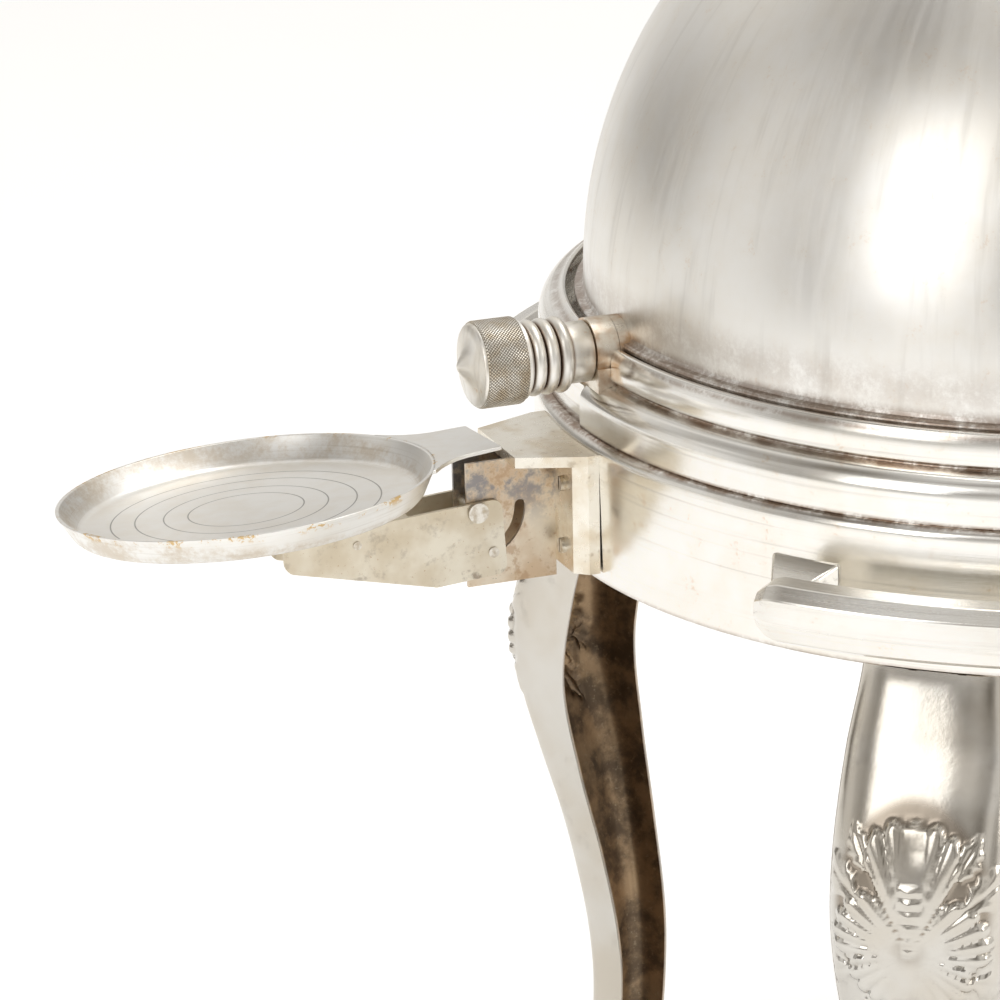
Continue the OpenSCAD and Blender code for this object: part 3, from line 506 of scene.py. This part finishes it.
DOME_FOOT = 1.2
BRIM_R = LIP_R - WALL - 2
FOOT_R = math.sqrt(DOME_R ** 2 - (DOME_FOOT - DOME_RISE) ** 2)


def dome_shell():
    shape = bmesh.new()
    foot = math.degrees(math.asin((DOME_FOOT - DOME_RISE) / DOME_R))
    for radius in (DOME_R, DOME_R - DOME_WALL):
        shell = arc((0, DOME_RISE), radius, foot, 90, 90)
        shell[-1] = (0, DOME_RISE + radius)
        turned(shape, shell, 192)
    bmesh.ops.remove_doubles(shape, verts=shape.verts, dist=0.002)
    open_rims = [e for e in shape.edges if len(e.link_faces) == 1]
    bmesh.ops.bridge_loops(shape, edges=open_rims)
    piece(shape, "dome_shell", "lid", ["dome"], PLATED_DOME)


def rolled_brim():
    roll = arc((BRIM_R - 1.6, 0.4), 1.6, -90, 90, 8)
    section = [(FOOT_R - DOME_WALL, DOME_FOOT), (FOOT_R - DOME_WALL, -1.2), (BRIM_R - 1.6, -1.2)]
    section += roll[1:] + [(FOOT_R + 2.4, 2), (FOOT_R + 1, 2.4), (FOOT_R, 4)]
    shape = bmesh.new()
    spin(shape, section, steps=256)
    piece(shape, "dome_rolled_brim", "lid", ["dome_brim"], PLATED_DOME)


dome_shell()
rolled_brim()


# ---- Rim, collar and skirt ----------------------------------------------------------------

def notch(shape, flat_end=0.0):
    """Cuts the bearings' seats into the top of a ring, by leaving out what is inside them."""
    half = BEARING_R + 0.3
    cuts = (((0, half - flat_end, 0), (0, 1, 0)), ((0, -half - flat_end, 0), (0, 1, 0)),
            ((0, 0, SEAT_Z), (0, 0, 1)))
    for point, normal in cuts:
        everything = shape.verts[:] + shape.edges[:] + shape.faces[:]
        bmesh.ops.bisect_plane(shape, geom=everything, plane_co=point, plane_no=normal)
    inside = [f for f in shape.faces if abs(f.calc_center_median().y + flat_end) < half
              and f.calc_center_median().z > SEAT_Z]
    bmesh.ops.delete(shape, geom=inside, context="FACES")
    open_edges = [e for e in shape.edges if len(e.link_faces) == 1]
    bmesh.ops.holes_fill(shape, edges=open_edges, sides=0)


def front_rim():
    """Half a ring with a rolled lip, a bead and a swelling lower step."""
    section = [(LIP_R - WALL, 0)] + arc((LIP_R - 0.2, -1.2), 1.2, 90, 20, 5)
    section += [(LIP_R + 2.0, -2.4), (LIP_R + 2.9, -5), (LIP_R + 3, -12), (LIP_R + 2.4, -14.4)]
    section += arc((LIP_R + 0.9, -16.2), 0.7, 120, 250, 5)
    section += arc((SHOULDER_R - 10.5, -27.4), 10, 85, 0, 10)
    section += [(SHOULDER_R - 0.5, -RIM_H), (FLANGE_R, -RIM_H), (LIP_R - WALL, -18), (LIP_R - WALL, -3),
                (LIP_R - WALL - 4, -3), (LIP_R - WALL - 4, -1.5), (LIP_R - WALL, -1.5)]
    shape = bmesh.new()
    spin(shape, section, 180, 180, 180)
    notch(shape)
    piece(shape, "stepped_front_rim", "frame", ["rim_ring"], PLATED_RIM, 0.2)


def rear_collar():
    """The other half, rounded over and set back, so that the dome can pass inside it."""
    foot = SHOULDER_R - 3
    crown, crown_r = (LIP_R - 1, -14), 12.5
    section = [(LIP_R - WALL, 0), (LIP_R - 0.4, 0.5), (LIP_R, 0.3)] + arc(crown, crown_r, 72, 0, 12)
    section += [(foot + 0.6, -18), (foot, -24), (foot, -RIM_H), (foot - WALL, -RIM_H),
                (foot - WALL - 0.5, -22)]
    section += arc(crown, crown_r - WALL, 0, 72, 12) + [(LIP_R - WALL, -2)]
    start = -math.degrees(math.asin(COLLAR_BACK / LIP_R))
    shape = bmesh.new()
    spin(shape, section, start, 180 - 2 * start, 180)
    notch(shape, COLLAR_BACK)
    piece(shape, "rounded_rear_collar", "frame", ["rear_collar"], PLATED_RIM, 0.15,
          place=Matrix.Translation((0, COLLAR_BACK, 0)))


def body_skirt():
    top = -RIM_H
    section = [(FLANGE_R, top), (SHOULDER_R - 1, top)] + arc((SHOULDER_R - 1, top - 5), 5, 90, 0, 8)
    section += [(SKIRT_R, top - 9), (SKIRT_R - 0.8, SKIRT_BOTTOM + 1), (SKIRT_R - 1.8, SKIRT_BOTTOM),
                (FOOT_FLANGE_R, SKIRT_BOTTOM), (FOOT_FLANGE_R, SKIRT_BOTTOM + WALL),
                (SKIRT_R - WALL - 1, SKIRT_BOTTOM + WALL), (SKIRT_R - WALL, top - 9),
                (SHOULDER_R - 1, top - WALL), (FLANGE_R, top - WALL)]
    shape = bmesh.new()
    spin(shape, section, steps=256)
    piece(shape, "round_body_skirt", "frame", ["body_skirt"], PLATED_BODY, 0.15)


front_rim()
rear_collar()
body_skirt()


# ---- Knobs --------------------------------------------------------------------------------

SPIGOT_R = 8


def side_place(side):
    """Stands a piece turned about the upright axis out along the trunnion, to either side."""
    return Matrix.Translation((0, 0, TRUNNION_Z)) @ Matrix.Rotation(math.radians(90 * side), 4, "Y")


def ribbed_grip(side, word):
    rib = RIB_PITCH / 2
    neck_end = NECK_X + NECK_L
    ribs = []
    for i in range(RIBS):
        ribs += arc((RIB_R - rib, neck_end + (i + 0.5) * RIB_PITCH), rib - 0.15, -80, 80, 10)
        if i < RIBS - 1:
            ribs += [(RIB_R - rib - 0.6, neck_end + (i + 1) * RIB_PITCH)]
    neck = BEARING_R - 1
    section = [(SPIGOT_R, NECK_X), (neck - 0.6, NECK_X), (neck, NECK_X + 0.6), (neck, neck_end)] + ribs
    section += [(RIB_R - 3.4, HEAD_X - COLLAR_L), (RIB_R - 1, HEAD_X - 3.0), (RIB_R + 0.8, HEAD_X - 1.6),
                (RIB_R + 0.8, HEAD_X), (SPIGOT_R, HEAD_X)]
    shape = bmesh.new()
    turned(shape, section, 96)
    piece(shape, f"ribbed_grip_{word}", "lid", [f"ribbed_knob_{word}"], KNOB_METAL, 0, 50,
          side_place(side))


def knurled_grip(side, word):
    face = HEAD_X + HEAD_L
    shape = bmesh.new()
    turned(shape, [(SPIGOT_R, HEAD_X), (HEAD_R - 1, HEAD_X), (HEAD_R - 0.3, HEAD_X + 0.3),
                   (HEAD_R, HEAD_X + 1.1), (HEAD_R, face - 1), (HEAD_R - 0.3, face - 0.3),
                   (HEAD_R - 1, face), (SPIGOT_R, face)], 128)
    piece(shape, f"knurled_grip_{word}", "lid", [f"knurled_head_{word}"], KNURL, 0, 50,
          side_place(side))


def coned_end(side, word):
    face = HEAD_X + HEAD_L
    shape = bmesh.new()
    turned(shape, [(0, face - 3.5), (SPIGOT_R, face - 3.5), (SPIGOT_R, face), (HEAD_R - 1, face),
                   (HEAD_R - 1.2, face + 1), (HEAD_R - 2.2, face + 1.8), (HEAD_R * 0.72, face + 2.5),
                   (HEAD_R * 0.45, face + 3.6), (HEAD_R * 0.28, face + 5.4), (3, face + 7.4),
                   (1.4, KNOB_END - 0.3), (0, KNOB_END)], 96)
    piece(shape, f"coned_end_{word}", "lid", [f"knob_cap_{word}"], KNOB_METAL, 0, 60,
          side_place(side))


for side, word in ((-1, "left"), (1, "right")):
    ribbed_grip(side, word)
    knurled_grip(side, word)
    coned_end(side, word)


# ---- Legs ---------------------------------------------------------------------------------

LEG_OUT = [(0, 0), (10, 0.07), (25, 0.14), (35, 0.21), (39, 0.28), (35, 0.35), (26, 0.43), (16, 0.51),
           (8, 0.60), (2, 0.69), (0, 0.78), (3, 0.87), (11, 0.94), (21, 1)]
LEG_IN = [(-28, 0), (-16, 0.10), (-5, 0.21), (2, 0.33), (-4, 0.45), (-14, 0.58), (-21, 0.70), (-21, 0.80),
          (-16, 0.90), (-8, 1)]
LEG_WIDTH = [(0.85, 0), (0.95, 0.09), (1, 0.22), (0.97, 0.32), (0.86, 0.45), (0.72, 0.58), (0.64, 0.70),
             (0.62, 0.80), (0.68, 0.90), (0.80, 1)]
LEG_HALF_W = 41.5
LEG_WALL = 2.5
PAD_H = 4
LEG_H = -FLOOR_Z + SKIRT_BOTTOM - PAD_H
KNEE = 0.25                                 # share of the height at which the flower sits
FLOWER_REACH = 66


def along(table, share):
    """A smooth curve through a table of (value, share of the height)."""
    i = max(k for k in range(len(table) - 1) if table[k][1] <= share or k == 0)
    t = (share - table[i][1]) / (table[i + 1][1] - table[i][1])
    a, b = table[max(i - 1, 0)][0], table[i][0]
    c, d = table[i + 1][0], table[min(i + 2, len(table) - 1)][0]
    square = 2 * a - 5 * b + 4 * c - d
    cube = 3 * b - a - 3 * c + d
    return 0.5 * (2 * b + (c - a) * t + square * t * t + cube * t ** 3)


def rise(value, low, high):
    """0 at low, 1 at high, with eased ends."""
    t = min(max((value - low) / (high - low), 0), 1)
    return t * t * (3 - 2 * t)


def petal(across, up, lean, reach, half, lobes):
    """Height of one fan-shaped petal with rounded flutes and a scalloped edge."""
    far = math.hypot(across, up)
    off = (math.atan2(up, across) - math.radians(lean) + math.pi) % (2 * math.pi) - math.pi
    share = off / math.radians(half)
    if abs(share) >= 1:
        return 0.0
    flute = abs(math.cos(math.pi * lobes * share / 2))
    tip = reach * (1 - 0.26 * share ** 4) * (0.90 + 0.10 * flute ** 0.5)
    if far >= tip:
        return 0.0
    grow = far / tip
    body = (0.8 + 2.6 * grow ** 1.3) * rise(tip - far, 0, 3.0) ** 0.5
    return body * (1 - 0.52 * (1 - flute) ** 1.5 * rise(grow, 0.15, 0.6)) * rise(1 - abs(share), 0, 0.12)


def leaf(across, up, lean, start, length, width):
    """Height of one serrated leaf with a sunk midrib."""
    turn = math.radians(lean)
    out = across * math.cos(turn) + up * math.sin(turn) - start
    off = -across * math.sin(turn) + up * math.cos(turn)
    share = out / length
    if share <= 0 or share >= 1:
        return 0.0
    half = width * math.sin(math.pi * share ** 0.75) * (1 + 0.14 * math.sin(share * 30))
    if abs(off) >= half:
        return 0.0
    crown = 1.6 * (1 - (off / half) ** 4)
    return crown - 0.7 * math.exp(-(off / 1.0) ** 2) + 0.12 * math.sin(1.2 * abs(off) - share * 14)


ROOT_DROP = 20                              # how far the flower's root lies below the knee
# Each petal's lean, reach, half angle and number of lobes.
PETALS = ((90, 60, 30, 6), (24, 38, 38, 6), (156, 38, 38, 6), (-42, 32, 36, 5), (-138, 32, 36, 5),
          (-90, 27, 24, 3))
# Each leaf's lean, start, length and width.
LEAVES = ((-90, 26, 22, 8), (-62, 26, 26, 9), (-118, 26, 26, 9), (-22, 30, 20, 8), (-158, 30, 20, 8),
          (42, 34, 28, 9), (138, 34, 28, 9), (62, 40, 22, 7), (118, 40, 22, 7))


def relief(across, up):
    """Height of the pressed hibiscus above the plain knee."""
    up = up + ROOT_DROP
    if math.hypot(across, up) > FLOWER_REACH:
        return 0.0
    height = max(petal(across, up, *shape_of) for shape_of in PETALS)
    height = max(height, max(leaf(across, up, *shape_of) for shape_of in LEAVES))
    sway = 1.5 * math.sin(up * 0.12)
    stem = math.exp(-((across - sway) / 2.3) ** 2) * rise(34 - up, 0, 5) * rise(up + 3, 0, 4)
    knobs = 0.6 + 0.4 * math.sin(up * 1.1) * math.sin(across * 1.4 + 1)
    return max(height, 0) + 3.0 * stem * knobs


def leg(name, angle):
    """One bent sheet with the flower pressed into its knee, and an open hollow back."""
    shape = bmesh.new()
    bmesh.ops.create_grid(shape, x_segments=130, y_segments=330, size=0.5)
    inside = shape.verts.layers.float.new("inside")
    hollow = shape.verts.layers.float.new("hollow")
    for vert in shape.verts:
        share = min(max(0.5 - vert.co.y, 0), 1)
        turn = vert.co.x * math.pi
        outer = SKIRT_R - 1 + along(LEG_OUT, share)
        inner = SKIRT_R - 1 + along(LEG_IN, share)
        half = LEG_HALF_W * along(LEG_WIDTH, share)
        sine, cosine = math.sin(turn), max(math.cos(turn), 0)
        across = half * math.copysign(abs(sine) ** 0.62, sine)
        out = inner + (outer - inner) * cosine ** 0.42
        up = (KNEE - share) * LEG_H
        lift = relief(across, up) * rise(cosine, 0.30, 0.60)
        # Marks the low ground round the flower, which the leg finish darkens as painted shade.
        beside = rise(54 - math.hypot(across * 1.35, up), 0, 14)
        vert[hollow] = beside * rise(lift, 1.7, 0.2) if beside else 0.0
        height = SKIRT_BOTTOM - share * LEG_H
        vert.co = Vector((out + lift, across, height))
    shape.normal_update()
    flip = 1 if sum(v.normal.x for v in shape.verts) > 0 else -1
    inward = [v.co - v.normal * flip * LEG_WALL for v in shape.verts]
    # The back copy is marked inside, which the leg finish paints dark bronze: partly tarnish, partly painted
    # shade.
    made = bmesh.ops.duplicate(shape, geom=list(shape.verts) + list(shape.edges) + list(shape.faces))
    back = [g for g in made["geom"] if isinstance(g, bmesh.types.BMVert)]
    for vert, place in zip(back, inward):
        vert.co = place
        vert[inside] = 1.0
    rims = [e for e in shape.edges if len(e.link_faces) == 1]
    bmesh.ops.bridge_loops(shape, edges=rims)
    stands_for = [name, "leg_flowers"] if name == "leg_front_left" else [name]
    piece(shape, name + "_shell", "frame", stands_for, LEG_SILVER, 0, 50,
          Matrix.Rotation(math.radians(angle), 4, "Z"))


for name, angle in LEG_ANGLES.items():
    leg(name, angle)


# ---- Handle rails and bosses --------------------------------------------------------------

RAIL_R, RAIL_Z, RAIL_H, RAIL_HALF = 283, -76, 29, 55
REAR_LIFT = 16
BOSS_ANGLE = RAIL_HALF - 1.5
BOSS_H, BOSS_W, BOSS_TIP = 30, 34, 12


def loft(shape, rings):
    """Joins rings of points into one closed bar."""
    loops = []
    for ring in rings:
        points = [shape.verts.new(p) for p in ring]
        loops.append([shape.edges.new(pair) for pair in zip(points, points[1:] + points[:1])])
    for first, second in zip(loops, loops[1:]):
        bmesh.ops.bridge_loops(shape, edges=first + second)
    bmesh.ops.contextual_create(shape, geom=loops[0])
    bmesh.ops.contextual_create(shape, geom=loops[-1])


def rail(name, middle, node, lift=0):
    """A bar of one section along an arc, closing in a little at its ends."""
    half = RAIL_H / 2
    section = [(-8, half - 3), (-5, half), (3, half - 1.5), (7.5, half - 7), (8.5, -half + 11),
               (5.5, -half + 3), (0, -half), (-8, -half + 2)]
    stations = [(-RAIL_HALF, 0.55), (-RAIL_HALF + 1.2, 0.9), (-RAIL_HALF + 2.2, 1.0)]
    stations += [(-RAIL_HALF + 2.2 + (2 * RAIL_HALF - 4.4) * i / 96, 1.0) for i in range(1, 97)]
    stations += [(RAIL_HALF - 1.2, 0.9), (RAIL_HALF, 0.55)]
    rings = []
    for turn, share in stations:
        t = math.radians(middle + turn)
        places = [(RAIL_R + r * share, RAIL_Z + lift + z * share) for r, z in section]
        rings.append([(r * math.cos(t), r * math.sin(t), z) for r, z in places])
    shape = bmesh.new()
    loft(shape, rings)
    piece(shape, name, "frame", [node], PLATED_RAIL, 0.5, 20)


def bosses(word, middle, lift=0):
    """The two blunt pyramids that carry a rail."""
    shape = bmesh.new()
    for turn in (middle - BOSS_ANGLE, middle + BOSS_ANGLE):
        rings = []
        for x, w, h in ((SKIRT_R - 0.7, BOSS_W / 2, BOSS_H / 2), (RAIL_R - 8, BOSS_TIP / 2, BOSS_TIP / 2)):
            low, high = RAIL_Z + lift - h, RAIL_Z + lift + h
            ring = [Vector(p) for p in ((x, -w, low), (x, w, low), (x, w, high), (x, -w, high))]
            rings.append([Matrix.Rotation(math.radians(turn), 3, "Z") @ p for p in ring])
        loft(shape, rings)
    piece(shape, f"pyramid_bosses_{word}", "frame", [f"{word}_rail_bosses"], PLATED_RAIL,
          1.2, 20)


rail("faceted_front_rail", -90, "front_rail")
rail("faceted_rear_rail", 90, "rear_rail", REAR_LIFT)
bosses("front", -90)
bosses("rear", 90, REAR_LIFT)


# ---- Side tray ----------------------------------------------------------------------------

TONGUE_END, TONGUE_HALF, TONGUE_T = 295, 24, 1.8


def tray_place():
    """The tray's two small leans, about a point on its tongue, and its place on the left."""
    droop = Matrix.Rotation(math.radians(TRAY_DROOP), 4, "Y")
    twist = Matrix.Rotation(math.radians(TRAY_TWIST), 4, "X")
    there = Matrix.Translation((TRAY_TILT_X, 0, TRAY_Z))
    lean = there @ droop @ twist @ there.inverted()
    return Matrix.Translation((0, TRAY_Y, 0)) @ Matrix.Scale(-1, 4, (1, 0, 0)) @ lean


def tray_outline(inset):
    floor_r = TRAY_R - 9
    return [(0, inset), (floor_r - inset - 1, inset), (floor_r + 1.5 - inset, inset + 0.6),
            (floor_r + 3 - inset, inset + 2), (TRAY_R - inset, TRAY_DEPTH)]


def round_tray():
    """The dish and the flat tongue that flares into its rim."""
    shape = bmesh.new()
    turned(shape, tray_outline(0) + tray_outline(1.8)[::-1], 192)
    bmesh.ops.translate(shape, vec=(TRAY_X, 0, TRAY_Z - TRAY_DEPTH), verts=shape.verts)
    straight = TONGUE_END + 12
    flare = [(TONGUE_END, TONGUE_HALF), (straight, TONGUE_HALF + 1)]
    flare += [(straight + 26 * t, TONGUE_HALF + 1 + 16 * t ** 2.2) for t in (0.2, 0.4, 0.6, 0.8, 1)]
    rim_r = TRAY_R - 1
    edge_angle = math.degrees(math.asin(flare[-1][1] / rim_r))
    angles = [math.radians(edge_angle * (1 - i / 8)) for i in range(17)]
    round_rim = [(TRAY_X - rim_r * math.cos(a), rim_r * math.sin(a)) for a in angles]
    outline = flare + round_rim + [(x, -y) for x, y in flare[::-1]]
    points = [shape.verts.new((x, y, TRAY_Z - TONGUE_T)) for x, y in outline]
    made = bmesh.ops.extrude_face_region(shape, geom=[shape.faces.new(points)])
    top = [g for g in made["geom"] if isinstance(g, bmesh.types.BMVert)]
    bmesh.ops.translate(shape, vec=(0, 0, TONGUE_T), verts=top)
    piece(shape, "round_tray", "tray_holder", ["tray"], TRAY_SILVER, 0.3, 40, tray_place())


round_tray()


# ---- Room, lights and camera --------------------------------------------------------------

FLOOR_GLOW = 0.30


def pale_floor():
    """A nearly white floor with a faint glow, so that it meets the white around it."""
    shape = bmesh.new()
    bmesh.ops.create_grid(shape, x_segments=1, y_segments=1, size=9)
    mesh = bpy.data.meshes.new("pale_floor")
    shape.to_mesh(mesh)
    shape.free()
    floor = bpy.data.objects.new("pale_floor", mesh)
    bpy.context.scene.collection.objects.link(floor)
    f = Finish("pale_floor_paint", 0.0)
    f.feed("Base Color", f.mix(f.noise(0.004, 2.0), (0.95, 0.95, 0.945, 1), (0.93, 0.93, 0.925, 1)))
    f.feed("Roughness", 0.9)
    f.surface.inputs["Specular IOR Level"].default_value = 0.1
    f.feed("Emission Color", (1, 1, 1, 1))
    f.surface.inputs["Emission Strength"].default_value = FLOOR_GLOW
    mesh.materials.append(f.material)


def area_light(name, place, target, size, power, colour=(1, 1, 1)):
    light = bpy.data.lights.new(name, "AREA")
    light.shape = "RECTANGLE"
    light.size, light.size_y = size
    light.energy = power
    light.color = colour
    lamp = bpy.data.objects.new(name, light)
    lamp.location = place
    lamp.rotation_euler = (Vector(target) - Vector(place)).to_track_quat("-Z", "Y").to_euler()
    bpy.context.scene.collection.objects.link(lamp)


def room():
    """White all round, with softly darker patches that give the metal something to reflect."""
    world = bpy.data.worlds.new("studio")
    bpy.context.scene.world = world
    world.use_nodes = True
    tree = world.node_tree
    tree.nodes.clear()
    out = tree.nodes.new("ShaderNodeOutputWorld")
    seen = tree.nodes.new("ShaderNodeBackground")
    lit = tree.nodes.new("ShaderNodeBackground")
    pick = tree.nodes.new("ShaderNodeMixShader")
    path = tree.nodes.new("ShaderNodeLightPath")
    where = tree.nodes.new("ShaderNodeTexCoord")
    noise = tree.nodes.new("ShaderNodeTexNoise")
    ramp = tree.nodes.new("ShaderNodeValToRGB")
    stretch = tree.nodes.new("ShaderNodeMapping")
    stretch.inputs["Scale"].default_value = (1, 1, 0.45)
    noise.inputs["Scale"].default_value = 1.7
    noise.inputs["Detail"].default_value = 1.0
    ramp.color_ramp.elements[0].position = 0.30
    ramp.color_ramp.elements[0].color = (0.14, 0.122, 0.10, 1)
    ramp.color_ramp.elements[1].position = 0.56
    ramp.color_ramp.elements[1].color = (0.86, 0.84, 0.81, 1)
    seen.inputs[0].default_value = (1, 1, 1, 1)
    seen.inputs[1].default_value = 1.05
    lit.inputs[1].default_value = 0.95
    tree.links.new(where.outputs["Generated"], stretch.inputs["Vector"])
    tree.links.new(stretch.outputs[0], noise.inputs["Vector"])
    tree.links.new(noise.outputs[0], ramp.inputs[0])
    tree.links.new(ramp.outputs[0], lit.inputs[0])
    tree.links.new(path.outputs["Is Camera Ray"], pick.inputs[0])
    tree.links.new(lit.outputs[0], pick.inputs[1])
    tree.links.new(seen.outputs[0], pick.inputs[2])
    tree.links.new(pick.outputs[0], out.inputs[0])


def camera():
    """Looks a little down on the left front from about 2.4 metres, with a slight roll."""
    heading, pitch, roll = math.radians(20.49), math.radians(18.96), math.radians(-1.2)
    level = math.cos(pitch)
    forward = Vector((math.sin(heading) * level, math.cos(heading) * level, -math.sin(pitch)))
    right = Vector((math.cos(heading), -math.sin(heading), 0))
    up = right.cross(forward)
    turned_right = right * math.cos(roll) + up * math.sin(roll)
    turned_up = up * math.cos(roll) - right * math.sin(roll)
    lens = bpy.data.cameras.new("view")
    lens.lens = 180
    lens.sensor_width = 36
    eye = bpy.data.objects.new("view", lens)
    basis = Matrix((turned_right, turned_up, -forward)).transposed().to_4x4()
    eye.matrix_world = Matrix.Translation((AXIS_X - 1.0491, -2.0317, LIP_Z + 0.6755)) @ basis
    bpy.context.scene.collection.objects.link(eye)
    bpy.context.scene.camera = eye


pale_floor()
middle = (AXIS_X, 0, LIP_Z)
area_light("left_window", (-2.6, -1.4, 1.9), middle, (1.2, 2.2), 20)
area_light("top_panel", (0.9, 0.2, 3.2), middle, (2.0, 2.0), 26)
area_light("front_right_panel", (2.0, -2.6, 1.6), middle, (0.8, 1.8), 16, (1.0, 0.97, 0.93))
room()
camera()
bpy.context.scene.view_settings.view_transform = "Standard"
